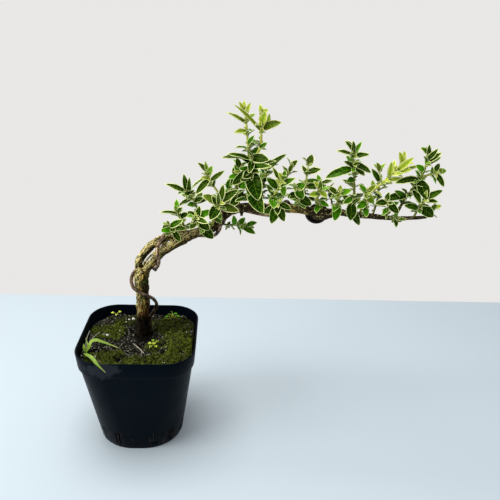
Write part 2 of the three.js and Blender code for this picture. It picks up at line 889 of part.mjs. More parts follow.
function potSolid() {
  const foot = POT.lipRound;
  const inner = bodyAt(POT.floor);
  const innerTop = POT.rimHalf - POT.wall;
  const rings = [
    roundedSquare(POT.baseHalf - foot, POT.baseCorner - foot, 0),
    roundedSquare(POT.baseHalf, POT.baseCorner, foot),
    roundedSquare(POT.bodyHalf, POT.bodyCorner, ledge),
    roundedSquare(POT.bodyHalf + POT.rimProud, POT.rimCorner, ledge),
    roundedSquare(POT.rimHalf, POT.rimCorner, POT.height - foot),
    roundedSquare(POT.rimHalf - foot, POT.rimCorner - foot, POT.height),
    roundedSquare(innerTop, POT.rimCorner - POT.wall, POT.height),
    roundedSquare(POT.bodyHalf - POT.wall, POT.bodyCorner - POT.wall, ledge),
    roundedSquare(inner.half - POT.wall, inner.corner - POT.wall, POT.floor),
  ];
  let pot = toSolid(skin(rings));
  const offset = (SLIT.width + SLIT.bar) / 2;
  for (let quarter = 0; quarter < 4; quarter += 1) {
    const middle = radians(45 + 90 * quarter);
    const centre = POT.baseHalf - POT.baseCorner;
    SLIT.angles.forEach((angle) => {
      [-offset, offset].forEach((side) => {
        const slit = new THREE.BoxGeometry(11, SLIT.width, SLIT.high - SLIT.low);
        slit.translate(POT.baseCorner + 1.5, side, (SLIT.low + SLIT.high) / 2);
        slit.rotateZ(radians(angle + 90 * quarter));
        slit.translate(Math.sign(Math.cos(middle)) * centre, Math.sign(Math.sin(middle)) * centre, 0);
        pot = pot.subtract(toSolid(slit));
      });
    });
  }
  for (let i = 0; i < DRAIN.count; i += 1) {
    const turn = (i / DRAIN.count) * 2 * Math.PI;
    const x = DRAIN.ring * Math.cos(turn);
    const y = DRAIN.ring * Math.sin(turn);
    pot = pot.subtract(uprightCylinder(DRAIN.radius, -1, POT.floor + 1, x, y, 10));
  }
  return fused([pot]);
}

// ---------------------------------------------------------------- soil

// Height of the soil: low waves, a mossy rise at the right and a hollow at the trunk's foot.
function soilHeight(x, y) {
  const waves = Math.sin(x * 0.21 + 1.3) * Math.cos(y * 0.17 - 0.4) + 0.6 * Math.sin(x * 0.39 - y * 0.31);
  const rise = 2.2 * Math.exp(-((x - 30) ** 2 + (y + 8) ** 2) / 420);
  const [footX, footY] = WOOD.trunk[2];
  const hollow = SOIL.footHollow * Math.exp(-((x - footX) ** 2 + (y - footY) ** 2) / 150);
  return SOIL.level + SOIL.bump * waves * 0.7 + rise - hollow;
}

function soilSolid() {
  const bottom = bodyAt(POT.floor);
  const top = bodyAt(SOIL.edgeLevel);
  const inset = POT.wall + GAP;
  const low = roundedSquare(bottom.half - inset - 0.2, bottom.corner - inset, POT.floor + GAP);
  const rings = [low];
  for (let i = 0; i < SOIL.rings; i += 1) {
    const scale = 1 - i / SOIL.rings;
    const ring = roundedSquare(top.half - inset - 0.3, top.corner - inset, SOIL.edgeLevel, scale);
    ring.forEach((v) => {
      v.z = mix(SOIL.edgeLevel, soilHeight(v.x, v.y), i === 0 ? 0 : 1);
    });
    rings.push(ring);
  }
  rings.push([new THREE.Vector3(0, 0, soilHeight(0, 0))]);
  let soil = toSolid(skin(rings));
  const [trunkX, trunkY, trunkLow] = WOOD.trunk[0];
  soil = soil.subtract(uprightCylinder(WOOD.holeRadius, trunkLow - GAP, ABOVE_ALL, trunkX, trunkY, 16));
  const [wireX, wireY, wireLow] = WIRE.climb[0];
  soil = soil.subtract(uprightCylinder(WIRE.radius + 0.5, wireLow - GAP, ABOVE_ALL, wireX, wireY, 12));
  const [grassX, grassY, grassLow] = GRASS.root[0];
  const grassHole = uprightCylinder(GRASS.rootRadius + 1.2, grassLow - GAP, ABOVE_ALL, grassX, grassY, 8);
  return fused([soil.subtract(grassHole)]);
}

// ---------------------------------------------------------------- wood

const woodStations = {
  trunk: sampled(WOOD.trunk, 15),
  upperStrand: sampled(WOOD.upperStrand, 15),
  lowerStrand: sampled(WOOD.lowerStrand, 11),
  branch: sampled(WOOD.branch, 34),
  rootlet: sampled(WOOD.rootlet, 6),
  stub: sampled(WOOD.stub, 3),
};

function barkRipple(seed, depth) {
  const random = randomFrom(seed);
  const flutes = Array.from({ length: WOOD.sides }, () => 1 + depth * (random() - 0.5));
  return (station, side) => flutes[side] * (1 + depth * 0.8 * (random() - 0.5));
}

function woodSolid() {
  const limbs = [
    tube(woodStations.trunk, WOOD.sides, barkRipple(3, 0.09)),
    tube(woodStations.upperStrand, WOOD.sides, barkRipple(5, 0.12)),
    tube(woodStations.lowerStrand, WOOD.sides, barkRipple(8, 0.1)),
    tube(woodStations.branch, 8, barkRipple(13, 0.09)),
    tube(woodStations.rootlet, 6),
    tube(woodStations.stub, 6),
  ];
  return fused(limbs.map(toSolid));
}

// ---------------------------------------------------------------- training wire

// The line that the wire winds round.
const spine = WOOD.branch;

function spineAt(x) {
  const i = Math.max(spine.findIndex((knot) => knot[0] > x), 1);
  const u = (x - spine[i - 1][0]) / (spine[i][0] - spine[i - 1][0]);
  return spine[i - 1].map((v, k) => mix(v, spine[i][k], u));
}

// One turn of the wire stands on the bark at a given angle round the spine.
function windPoint(x, angle, standOff) {
  const centre = spineAt(x);
  const axis = point(spineAt(x + 2)).sub(point(spineAt(x - 2))).normalize();
  const front = squareTo(new THREE.Vector3(0, -1, 0), axis);
  const up = squareTo(new THREE.Vector3(0, 0, 1), axis);
  const reach = centre[3] + WIRE.radius + GAP + standOff;
  return point(centre)
    .addScaledVector(front, reach * Math.cos(radians(angle)))
    .addScaledVector(up, reach * Math.sin(radians(angle)));
}

// Moves a wire station out until it stands clear of the wood.
function offTheBark(station) {
  const p = point(station);
  const need = WIRE.radius + GAP + WOOD.barkDepth;
  for (let pass = 0; pass < 6; pass += 1) {
    Object.values(woodStations).forEach((limb) => {
      const { gap, foot } = clearanceFrom(p, limb);
      if (gap < need) {
        p.addScaledVector(p.clone().sub(foot).normalize(), need - gap);
      }
    });
  }
  return [p.x, p.y, p.z, WIRE.radius];
}

function wireStations() {
  const windKnots = [];
  for (let i = 0; i + 1 < WIRE.wind.length; i += 1) {
    const [x0, a0, s0] = WIRE.wind[i];
    const [x1, a1, s1] = WIRE.wind[i + 1];
    const steps = Math.ceil((a1 - a0) / 45);
    for (let k = 0; k < steps; k += 1) {
      const u = k / steps;
      const p = windPoint(mix(x0, x1, u), mix(a0, a1, u), mix(s0, s1, u));
      windKnots.push([p.x, p.y, p.z]);
    }
  }
  const { centre, outer, inner, from, to } = WIRE.coil;
  const coilKnots = [];
  for (let angle = from; angle <= to; angle += 30) {
    const radius = mix(outer, inner, (angle - from) / (to - from));
    coilKnots.push([
      centre[0] + radius * Math.cos(radians(angle)),
      centre[1],
      centre[2] + radius * Math.sin(radians(angle)),
    ]);
  }
  const knots = [...WIRE.climb, ...windKnots, ...coilKnots];
  const dense = sampled(knots, 900);
  const stations = [];
  let travelled = Infinity;
  dense.forEach((knot, i) => {
    travelled += i > 0 ? point(knot).distanceTo(point(dense[i - 1])) : 0;
    if (travelled >= WIRE.step || i === dense.length - 1) {
      stations.push(offTheBark(knot));
      travelled = 0;
    }
  });
  return stations;
}

const wire = wireStations();

// ---------------------------------------------------------------- grass weed and fallen twig

// Thin blade along a path: folded a little along its middle, widest before its middle.
function strapBlade(path, width) {
  const steps = 7;
  const rings = [];
  for (let i = 0; i < steps; i += 1) {
    const t = i / (steps - 1);
    const centre = point(along(path, t));
    const axis = tangentAt(path, t);
    const side = axis.clone().cross(new THREE.Vector3(0, 0, 1)).normalize();
    const face = side.clone().cross(axis).normalize();
    const half = 0.5 * width * Math.max(0.24, Math.sin(Math.PI * Math.min(0.18 + 0.8 * t, 1)));
    const thick = GRASS.thickness / 2;
    rings.push([
      centre.clone().addScaledVector(side, -half).addScaledVector(face, 0.3 * half),
      centre.clone().addScaledVector(face, thick),
      centre.clone().addScaledVector(side, half).addScaledVector(face, 0.3 * half),
      centre.clone().addScaledVector(face, -thick),
    ]);
  }
  return toSolid(skin(rings));
}

function grassSolid() {
  const stalk = sampled(GRASS.root, 2).map((knot) => [...knot, GRASS.rootRadius]);
  const blades = GRASS.blades.map((blade) => strapBlade(blade.path, blade.width));
  return fused([toSolid(tube(stalk, 8)), ...blades]);
}

function twigSolid() {
  const ground = TWIG.path.map(([x, y]) => soilHeight(x, y));
  const rest = Math.max(...ground) + TWIG.radius + GAP + TWIG.lift;
  const stations = sampled(TWIG.path, 5).map(([x, y, z]) => [x, y, z + rest, TWIG.radius]);
  return toSolid(tube(stations, TWIG.sides));
}

// ---------------------------------------------------------------- leaves

// A leaf stands at root and sets off along ahead, its upper side facing up; bend is how far it
// arches down over its length, in radians.
function leafPoint(leaf, t) {
  const arc = Math.max(leaf.bend, 1e-6);
  const forward = (leaf.length * Math.sin(arc * t)) / arc + LEAF.foot * (1 - t);
  const down = (leaf.length * (1 - Math.cos(arc * t))) / arc;
  return leaf.root.clone().addScaledVector(leaf.ahead, forward).addScaledVector(leaf.up, -down);
}

// Half width of the blade at t: widest before the middle, nothing at the foot and the tip.
function leafHalf(leaf, t) {
  const swell = Math.sin(Math.PI * Math.min(t, 1) ** 0.86);
  return 0.5 * leaf.width * Math.max(swell, 0) ** 0.92;
}

function leafSolid(leaf) {
  const stops = leaf.length < LEAF.coarseUnder ? [0, 0.27, 0.64, 1] : [0, 0.2, 0.46, 0.74, 1];
  const side = leaf.up.clone().cross(leaf.ahead);
  const rise = Math.tan(radians(LEAF.rise));
  const rings = stops.map((t) => {
    const centre = leafPoint(leaf, t);
    if (t === 0 || t === 1) {
      return [centre];
    }
    const face = leaf.up.clone().multiplyScalar(Math.cos(leaf.bend * t))
      .addScaledVector(leaf.ahead, Math.sin(leaf.bend * t));
    const half = leafHalf(leaf, t);
    const edge = face.clone().multiplyScalar(half * rise);
    const thick = face.clone().multiplyScalar(LEAF.thickness / 2);
    return [
      centre.clone().add(edge).addScaledVector(side, half),
      centre.clone().add(thick),
      centre.clone().add(edge).addScaledVector(side, -half),
      centre.clone().sub(thick),
    ];
  });
  return toSolid(skin(rings));
}

// Points over a leaf's blade that stand for it when leaves are kept clear of each other.
function leafSamples(leaf) {
  const count = Math.max(4, Math.ceil(leaf.length / 2.4));
  const side = leaf.up.clone().cross(leaf.ahead);
  const samples = [];
  for (let i = 0; i < count; i += 1) {
    const t = 0.2 + (0.8 * i) / (count - 1);
    const centre = leafPoint(leaf, t);
    const half = leafHalf(leaf, t);
    samples.push({ at: centre, t });
    if (half > 1) {
      const lift = new THREE.Vector3().addScaledVector(leaf.up, half * 0.4);
      samples.push({ at: centre.clone().add(lift).addScaledVector(side, half), t });
      samples.push({ at: centre.clone().add(lift).addScaledVector(side, -half), t });
    }
  }
  return samples;
}

// A leaf whose tip is given: its chord runs from the stem to the tip, and face turns its
// upper side from the sky (0) to the front (90).
function leafToTip(root, tip, width, face) {
  const chord = tip.clone().sub(root);
  const reach = chord.length();
  chord.normalize();
  const bend = radians(LEAF.droop);
  const light = new THREE.Vector3(0, -Math.sin(radians(face)), Math.cos(radians(face)));
  const upper = squareTo(light, chord);
  const half = bend / 2;
  const ahead = chord.clone().multiplyScalar(Math.cos(half)).addScaledVector(upper, Math.sin(half));
  const up = upper.clone().multiplyScalar(Math.cos(half)).addScaledVector(chord, -Math.sin(half));
  return { root, ahead, up, bend, width, length: (reach * half) / Math.sin(half) };
}

// A leaf of a pair: it leaves the stem at an angle round it and a lift from it.
function leafOnStem(root, axis, turn, lean, length, width, bend) {
  const guide = Math.abs(axis.y) > 0.9 ? new THREE.Vector3(1, 0, 0) : new THREE.Vector3(0, 1, 0);
  const one = squareTo(guide, axis);
  const two = axis.clone().cross(one);
  const out = one.multiplyScalar(Math.cos(turn)).addScaledVector(two, Math.sin(turn));
  const ahead = axis.clone().multiplyScalar(Math.cos(lean)).addScaledVector(out, Math.sin(lean));
  const light = axis.clone().multiplyScalar(0.75).add(new THREE.Vector3(0, -0.25, 0.65));
  return { root, ahead, up: squareTo(light, ahead), bend, width, length };
}

// ---------------------------------------------------------------- shoots

const TRIES = [[0, 0], [1, 0], [-1, 0], [0, 1], [0, -1], [1, 1], [-1, 1], [1, -1], [-1, -1], [2, 0], [-2, 0],
  [0, 2], [0, -2]];
const DEPTHS = [0, -2.5, 2.5, -5, 5, -7.5, 7.5, -10, 10];

function stemStations(stem) {
  const count = 2 * stem.path.length - 1;
  return sampled(stem.path, count).map((p, i) => [...p, mix(stem.girth[0], stem.girth[1], i / (count - 1))]);
}

const shoots = SHOOTS.map((shoot) => ({
  name: shoot.name,
  seed: shoot.seed,
  stems: shoot.stems,
  stations: shoot.stems.map(stemStations),
  leaves: [],
}));

// True where a leaf stays clear of the wood, the wire and every leaf and stem set so far.
function standsClear(leaf, owner) {
  const samples = leafSamples(leaf);
  const solids = [...Object.values(woodStations), wire];
  const touchesSolid = samples.some(({ at, t }) => t > 0.3
    && solids.some((stations) => clearanceFrom(at, stations).gap < CLEAR.wood));
  if (touchesSolid) {
    return false;
  }
  return shoots.every((shoot) => {
    const own = shoot === owner;
    const limit = own ? CLEAR.own : CLEAR.leaf;
    const meetsLeaf = shoot.leaves.some((other) => {
      if (other.root.distanceTo(leaf.root) > other.length + leaf.length + limit) {
        return false;
      }
      return samples.some(({ at, t }) => other.samples.some((mark) => {
        const near = own && (t < 0.35 || mark.t < 0.35);
        return !near && at.distanceTo(mark.at) < limit;
      }));
    });
    const meetsStem = !own && shoot.stations.some((stations) => samples.some(({ at }) => (
      clearanceFrom(at, stations).gap < CLEAR.stem)));
    return !meetsLeaf && !meetsStem;
  });
}

// Tries the leaf as it should be, then bent step by step; a leaf with no clear place is left out.
function settle(owner, variants) {
  const found = variants.find((leaf) => standsClear(leaf, owner));
  if (found) {
    owner.leaves.push({ ...found, samples: leafSamples(found) });
  }
}

function setMarkedLeaves(shoot) {
  shoot.stems.forEach((stem) => {
    stem.marked.forEach(([place, x, y, z, width, face]) => {
      const root = point(along(stem.path, place));
      settle(shoot, DEPTHS.map((depth) => leafToTip(root, new THREE.Vector3(x, y + depth, z), width, face)));
    });
  });
}

// Opposite leaves in pairs, each pair a quarter turn on from the one below it.
function setPairs(shoot) {
  const random = randomFrom(shoot.seed);
  shoot.stems.forEach((stem) => {
    const first = random() * Math.PI;
    for (let pair = 0; pair < stem.pairs; pair += 1) {
      const u = stem.pairs > 1 ? pair / (stem.pairs - 1) : 1;
      const place = mix(stem.start, 1, u);
      const root = point(along(stem.path, place));
      const axis = tangentAt(stem.path, place);
      for (let half = 0; half < 2; half += 1) {
        const turn = first + Math.PI * (pair * 0.5 + half) + (random() - 0.5) * PAIR.strayTurn;
        const lean = radians(mix(PAIR.leanFoot, PAIR.leanTip, u) + (random() - 0.5) * PAIR.strayLean);
        const length = mix(stem.leaf[0], stem.leaf[1], u) * (PAIR.long + PAIR.longStray * random());
        const width = length * (PAIR.wide + PAIR.wideStray * random());
        const bend = radians(LEAF.droop * (0.6 + 0.9 * random()));
        settle(shoot, TRIES.map(([aside, aloft]) => leafOnStem(
          root, axis, turn + radians(CLEAR.turn) * aside, lean + radians(CLEAR.lift) * aloft,
          length, width, bend,
        )));
      }
    }
  });
}

shoots.forEach(setMarkedLeaves);
shoots.forEach(setPairs);

function shootSolid(shoot, clearWood) {
  const stems = shoot.stations.map((stations) => toSolid(tube(stations, 4)));
  const leaves = shoot.leaves.map(leafSolid);
  const whole = [...stems, ...leaves].reduce((sum, piece) => sum.add(piece));
  return fused([whole.subtract(clearWood)]);
}

// ---------------------------------------------------------------- the whole

// The wood made GAP thicker, which trims the foot of each shoot.
function woodWithGap() {
  const grown = Object.values(woodStations).map((stations) => {
    const thick = stations.map(([x, y, z, r]) => [x, y, z, r * 1.06 + GAP]);
    return toSolid(tube(thick, 12));
  });
  return grown.reduce((sum, piece) => sum.add(piece));
}

const FINISH = {
  pot: { color: 0x0d1118, roughness: 0.42, metalness: 0 },
  soil: { color: 0x2e241c, roughness: 0.97, metalness: 0 },
  bark: { color: 0x8d6f45, roughness: 0.85, metalness: 0 },
  wire: { color: 0x4a342b, roughness: 0.45, metalness: 0.6 },
  leaf: { color: 0x4b7a26, roughness: 0.5, metalness: 0 },
  grass: { color: 0x7fae35, roughness: 0.6, metalness: 0 },
  twig: { color: 0xb9ad97, roughness: 0.9, metalness: 0 },
};

const bonsai = new THREE.Group();

function addNode(name, solid, finish) {
  const geometry = toGeometry(solid);
  const mesh = new THREE.Mesh(geometry, new THREE.MeshStandardMaterial(finish));
  mesh.name = name;
  bonsai.add(mesh);
}

addNode('pot', potSolid(), FINISH.pot);
addNode('soil', soilSolid(), FINISH.soil);
addNode('trunk', woodSolid(), FINISH.bark);
addNode('training_wire', toSolid(tube(wire, WIRE.sides)), FINISH.wire);
addNode('grass_weed', grassSolid(), FINISH.grass);
addNode('fallen_twig', twigSolid(), FINISH.twig);
const clearWood = woodWithGap();
shoots.forEach((shoot) => addNode(shoot.name, shootSolid(shoot, clearWood), FINISH.leaf));

export default bonsai;
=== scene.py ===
"""Serissa bonsai in a square nursery pot: the finished look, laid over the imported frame.

Sizes are written in millimetres and turned into metres when a mesh is made; the finishes read
places in metres. The frame has +Z up, +X along the level branch and +Y to the back, with its
origin under the pot.
"""

import logging
import math
from dataclasses import dataclass, field
from enum import Enum

import bpy
import numpy as np
from mathutils import Matrix, Vector

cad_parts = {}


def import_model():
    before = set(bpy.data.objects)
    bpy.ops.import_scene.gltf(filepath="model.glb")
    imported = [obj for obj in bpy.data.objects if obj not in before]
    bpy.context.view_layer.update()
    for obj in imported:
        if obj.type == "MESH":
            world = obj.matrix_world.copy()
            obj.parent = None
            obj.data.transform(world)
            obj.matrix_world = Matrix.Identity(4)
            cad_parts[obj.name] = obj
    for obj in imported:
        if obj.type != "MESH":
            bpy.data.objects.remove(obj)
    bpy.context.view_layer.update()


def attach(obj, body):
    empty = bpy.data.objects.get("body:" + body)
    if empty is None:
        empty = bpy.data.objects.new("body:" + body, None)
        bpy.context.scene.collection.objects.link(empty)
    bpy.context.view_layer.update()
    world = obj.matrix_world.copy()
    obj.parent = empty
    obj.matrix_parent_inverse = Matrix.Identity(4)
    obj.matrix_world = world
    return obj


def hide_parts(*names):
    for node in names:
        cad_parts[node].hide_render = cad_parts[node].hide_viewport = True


LOG = logging.getLogger("serissa")
MM = 0.001
BODY = "root"
WORD = 0xFFFFFFFF
Array = np.ndarray
Rng = np.random.Generator
Faces = list[tuple[int, ...]]
Point = tuple[float, float, float]
Colour = tuple[float, float, float]
Material = bpy.types.Material
Socket = bpy.types.NodeSocket


# ---------------------------------------------------------------- numbers, curves and noise


class Draw:
    """Seeded stream of numbers from 0 to 1, the same one that the leaves of the solids follow."""

    def __init__(self, seed: int) -> None:
        """Start the stream at a whole number that fixes every later draw."""
        self.state = seed & WORD

    def next(self) -> float:
        """Take the next number of the stream, by shifts and products of a 32-bit state.

        Returns:
            A number from 0 up to 1.
        """
        self.state = (self.state + 0x6D2B79F5) & WORD
        t = self.state
        t = ((t ^ (t >> 15)) * (t | 1)) & WORD
        t ^= (t + ((t ^ (t >> 7)) * (t | 61) & WORD)) & WORD
        return ((t ^ (t >> 14)) & WORD) / (WORD + 1)


def along(knots: Array, t: Array | float) -> Array:
    """Points of the uniform Catmull-Rom curve through knots, with the end knots mirrored.

    Args:
        knots: (n, k) array of knots of any width.
        t: place or places from 0 to 1.

    Returns:
        (m, k) array, or (k,) for a single place.
    """
    knots = np.asarray(knots, float)
    places = np.clip(np.atleast_1d(np.asarray(t, float)), 0, 1) * (len(knots) - 1)
    i = np.minimum(np.floor(places).astype(int), len(knots) - 2)
    u = (places - i)[:, None]
    padded = np.vstack([2 * knots[0] - knots[1], knots, 2 * knots[-1] - knots[-2]])
    a, b, c, d = (padded[i + k] for k in range(4))
    curve = b + 0.5 * u * ((c - a) + u * ((2 * a - 5 * b + 4 * c - d) + u * (3 * b - a - 3 * c + d)))
    return curve[0] if np.ndim(t) == 0 else curve


def sampled(knots: Array, count: int) -> Array:
    """As many evenly placed points as count, on the curve through (n, k) knots."""
    return along(np.array(knots, float), np.arange(count) / (count - 1))


def unit(v: Array) -> Array:
    """Vectors v scaled to unit length along their last axis."""
    return v / np.maximum(np.linalg.norm(v, axis=-1, keepdims=True), 1e-12)


def square_to(v: Array, axis: Array) -> Array:
    """The part of v that is square to the unit vector axis, at unit length."""
    return unit(v - np.sum(v * axis, axis=-1, keepdims=True) * axis)


def tangent_at(knots: Array, t: float) -> Array:
    """Direction of the curve through knots at t, from a point a hundredth before to one after."""
    return unit(along(knots, min(t + 0.01, 1)) - along(knots, max(t - 0.01, 0)))


def hashed(ix: Array, iy: Array, iz: Array, seed: int) -> Array:
    """A fixed number for each corner of the whole-number lattice, by products with large primes.

    Args:
        ix: whole numbers along x.
        iy: whole numbers along y.
        iz: whole numbers along z.
        seed: chooses the field.

    Returns:
        Numbers from 0 up to 1.
    """
    h = (ix * 374761393 + iy * 668265263 + iz * 1442695041 + seed * 974634777) & WORD
    h = ((h ^ (h >> 13)) * 1274126177) & WORD
    h = ((h ^ (h >> 15)) * 2246822519) & WORD
    return (h ^ (h >> 16)) / (WORD + 1)


def noise(points: Array, seed: int = 0) -> Array:
    """Smooth value noise: lattice numbers blended by a smoothstep along each axis.

    Args:
        points: (..., 3) array in lattice cells.
        seed: chooses the field.

    Returns:
        Values from 0 to 1.
    """
    base = np.floor(points).astype(np.int64)
    f = points - base
    f = f * f * (3 - 2 * f)
    total = np.zeros(points.shape[:-1])
    for corner in np.ndindex(2, 2, 2):
        x, y, z = (np.where(step, f[..., k], 1 - f[..., k]) for k, step in enumerate(corner))
        total += x * y * z * hashed(*(base[..., k] + corner[k] for k in range(3)), seed)
    return total


def rough(points: Array, octaves: int, seed: int = 0) -> Array:
    """Sum of noise octaves, each twice as fine and half as strong, centred on zero.

    Args:
        points: (..., 3) array in cells of the coarsest octave.
        octaves: how many there are.
        seed: chooses the field.

    Returns:
        Values from about -1 to 1.
    """
    total = np.zeros(points.shape[:-1])
    for k in range(octaves):
        total += (noise(points * 2.0**k, seed + 17 * k) - 0.5) * 0.5**k
    return total


def capsule_gaps(points: Array, stations: Array) -> tuple[Array, Array]:
    """How far each point is from each link of a chain of [x, y, z, radius] stations.

    The foot is the point's own place on the link's middle line, a + u (b - a) with u held to
    0 to 1; the gap is the distance to the foot less the radius there.

    Args:
        points: (m, 3) array.
        stations: (n + 1, 4) array.

    Returns:
        (m, n) array of gaps and (m, n, 3) array of feet.
    """
    a = stations[:-1, :3]
    ab = stations[1:, :3] - a
    u = np.clip(np.einsum("mnk,nk->mn", points[:, None] - a, ab) / np.sum(ab * ab, axis=1), 0, 1)
    feet = a + u[..., None] * ab
    radius = stations[:-1, 3] + (stations[1:, 3] - stations[:-1, 3]) * u
    return np.linalg.norm(feet - points[:, None], axis=-1) - radius, feet


# ---------------------------------------------------------------- meshes


@dataclass
class Skin:
    """A mesh in the making: points in millimetres, faces, and values at each point."""

    points: Array
    faces: Faces
    values: dict[str, Array] = field(default_factory=dict)


def joined(skins: list[Skin]) -> Skin:
    """One skin that holds several, with the values that they all share.

    Args:
        skins: the pieces, one or more.

    Returns:
        A skin whose faces are numbered on from piece to piece.
    """
    starts = np.cumsum([0] + [len(s.points) for s in skins])
    faces = [tuple(i + int(start) for i in face) for s, start in zip(skins, starts) for face in s.faces]
    shared = set.intersection(*(set(s.values) for s in skins))
    values = {name: np.concatenate([s.values[name] for s in skins]) for name in sorted(shared)}
    return Skin(np.vstack([s.points for s in skins]), faces, values)


def ring_faces(rings: int, sides: int, ends: bool = True) -> Faces:
    """Quads between following rings of points, with an n-sided face over each end.

    Args:
        rings: number of rings.
        sides: points in a ring, anticlockwise about the way the rings follow each other.
        ends: whether the first and the last ring get an end face.

    Returns:
        Faces as tuples of point numbers.
    """
    r, k = np.meshgrid(np.arange(rings - 1), np.arange(sides), indexing="ij")
    a = r * sides + k
    b = r * sides + (k + 1) % sides
    quads = np.stack([a, b, b + sides, a + sides], axis=-1).reshape(-1, 4)
    faces = [tuple(map(int, q)) for q in quads]
    if ends:
        last = (rings - 1) * sides
        faces += [tuple(range(sides - 1, -1, -1)), tuple(range(last, last + sides))]
    return faces


def transported(centres: Array) -> tuple[Array, Array, Array]:
    """Directions along a chain of centres and two square to them, carried on without twist.

    Args:
        centres: (n, 3) array.

    Returns:
        Axis, first and second cross directions, each (n, 3).
    """
    step = np.empty_like(centres)
    step[1:-1] = centres[2:] - centres[:-2]
    step[0] = centres[1] - centres[0]
    step[-1] = centres[-1] - centres[-2]
    axis = unit(step)
    guide = np.array([1.0, 0, 0]) if abs(axis[0, 2]) > 0.7 else np.array([0, 0, 1.0])
    first = np.empty_like(centres)
    for i in range(len(centres)):
        guide = square_to(guide, axis[i])
        first[i] = guide
    return axis, first, np.cross(axis, first)


def tube(stations: Array, sides: int) -> Skin:
    """Round tube over [x, y, z, radius] stations: centre + radius (cos a first + sin a second).

    Args:
        stations: (n, 4) array.
        sides: points around.

    Returns:
        A closed skin with the values place (0 to 1 along) and around (0 to 1).
    """
    _, first, second = transported(stations[:, :3])
    turn = np.arange(sides) / sides * 2 * np.pi
    ring = first[:, None] * np.cos(turn)[:, None] + second[:, None] * np.sin(turn)[:, None]
    points = stations[:, None, :3] + ring * stations[:, None, 3:4]
    place = np.repeat(np.linspace(0, 1, len(stations)), sides)
    around = np.tile(np.arange(sides) / sides, len(stations))
    faces = ring_faces(len(stations), sides)
    return Skin(points.reshape(-1, 3), faces, {"place": place, "around": around})


# Places across a thin ribbon, there over its upper side and back under its lower one.
ACROSS = np.array([-1, -0.5, 0, 0.5, 1, 1, 0.5, 0, -0.5, -1])
UPPER = np.repeat([1, -1], 5)


def ribbon(
    centre: Array, side: Array, face: Array, half: Array, lift: Array, values: dict[str, Array],
) -> Skin:
    """Thin closed ribbon: centre + (half width x place across) side + lift face.

    Args:
        centre: (n, 3) middle line.
        side: the way across, for all rings or for each.
        face: (n, 3) way up from the ribbon.
        half: (n,) half widths.
        lift: (n, 10) heights of the points over the middle line.
        values: numbers for the points by name, which spread to (n, 10).

    Returns:
        A closed skin with those values.
    """
    wide = np.atleast_2d(side)[:, None] * (half[:, None] * ACROSS)[..., None]
    rings = centre[:, None] + wide + face[:, None] * lift[..., None]
    grid = np.ones(lift.shape)
    flat = {name: (grid * value).reshape(-1) for name, value in values.items()}
    return Skin(rings.reshape(-1, 3), ring_faces(*lift.shape), flat)


def lump(centres: Array, sizes: Array, seed: int, rings: int, sides: int) -> Skin:
    """Many rough grains at once: each a squashed ball whose points are pushed in and out.

    Args:
        centres: (n, 3) array.
        sizes: (n, 3) half sizes.
        seed: chooses the roughness.
        rings: rings of points between the poles.
        sides: points in a ring.

    Returns:
        A skin of closed grains with the value tone, one draw for each grain.
    """
    rng = np.random.default_rng(seed)
    lat = np.linspace(-np.pi / 2, np.pi / 2, rings + 2)[1:-1]
    lon = np.arange(sides) / sides * 2 * np.pi
    la, lo = np.meshgrid(lat, lon, indexing="ij")
    ball = np.stack([np.cos(la) * np.cos(lo), np.cos(la) * np.sin(lo), np.sin(la)], axis=-1).reshape(-1, 3)
    ball = np.vstack([ball, [[0, 0, -1.0]], [[0, 0, 1.0]]])
    count = len(centres)
    shape = ball[None] * (1 + 0.34 * (rng.random((count, len(ball), 1)) - 0.5))
    spin = rng.random(count) * 2 * np.pi
    tip = rng.random(count) * 1.4
    cs, sn, ct, st = np.cos(spin), np.sin(spin), np.cos(tip), np.sin(tip)
    zero = np.zeros(count)
    about_z = np.stack([cs, -sn, zero, sn, cs, zero, zero, zero, zero + 1], axis=-1).reshape(-1, 3, 3)
    about_x = np.stack([zero + 1, zero, zero, zero, ct, -st, zero, st, ct], axis=-1).reshape(-1, 3, 3)
    points = np.einsum("nij,njk,nvk->nvi", about_z, about_x, shape * sizes[:, None]) + centres[:, None]
    faces = ring_faces(rings, sides, ends=False)
    low, high, last = rings * sides, rings * sides + 1, (rings - 1) * sides
    for k in range(sides):
        faces.append((low, (k + 1) % sides, k))
        faces.append((high, last + k, last + (k + 1) % sides))
    each = len(ball)
    everything = [tuple(i + each * n for i in f) for n in range(count) for f in faces]
    return Skin(points.reshape(-1, 3), everything, {"tone": np.repeat(rng.random(count), each)})


def store(mesh: bpy.types.Mesh, values: dict[str, Array]) -> None:
    """Keep numbers or vectors at the mesh's points for its finish to read.

    Args:
        mesh: the mesh.
        values: (n,) or (n, 3) arrays by name.
    """
    for name, numbers in values.items():
        kind, key = ("FLOAT", "value") if numbers.ndim == 1 else ("FLOAT_VECTOR", "vector")
        layer = mesh.attributes.new(name, kind, "POINT")
        layer.data.foreach_set(key, numbers.astype(np.float32).reshape(-1))


def read(items: bpy.types.bpy_prop_collection, key: str) -> Array:
    """Read one vector of every point of a mesh.

    Args:
        items: the points or their normals.
        key: the vector's property.

    Returns:
        (n, 3) array.
    """
    flat = np.empty(len(items) * 3)
    items.foreach_get(key, flat)
    return flat.reshape(-1, 3)


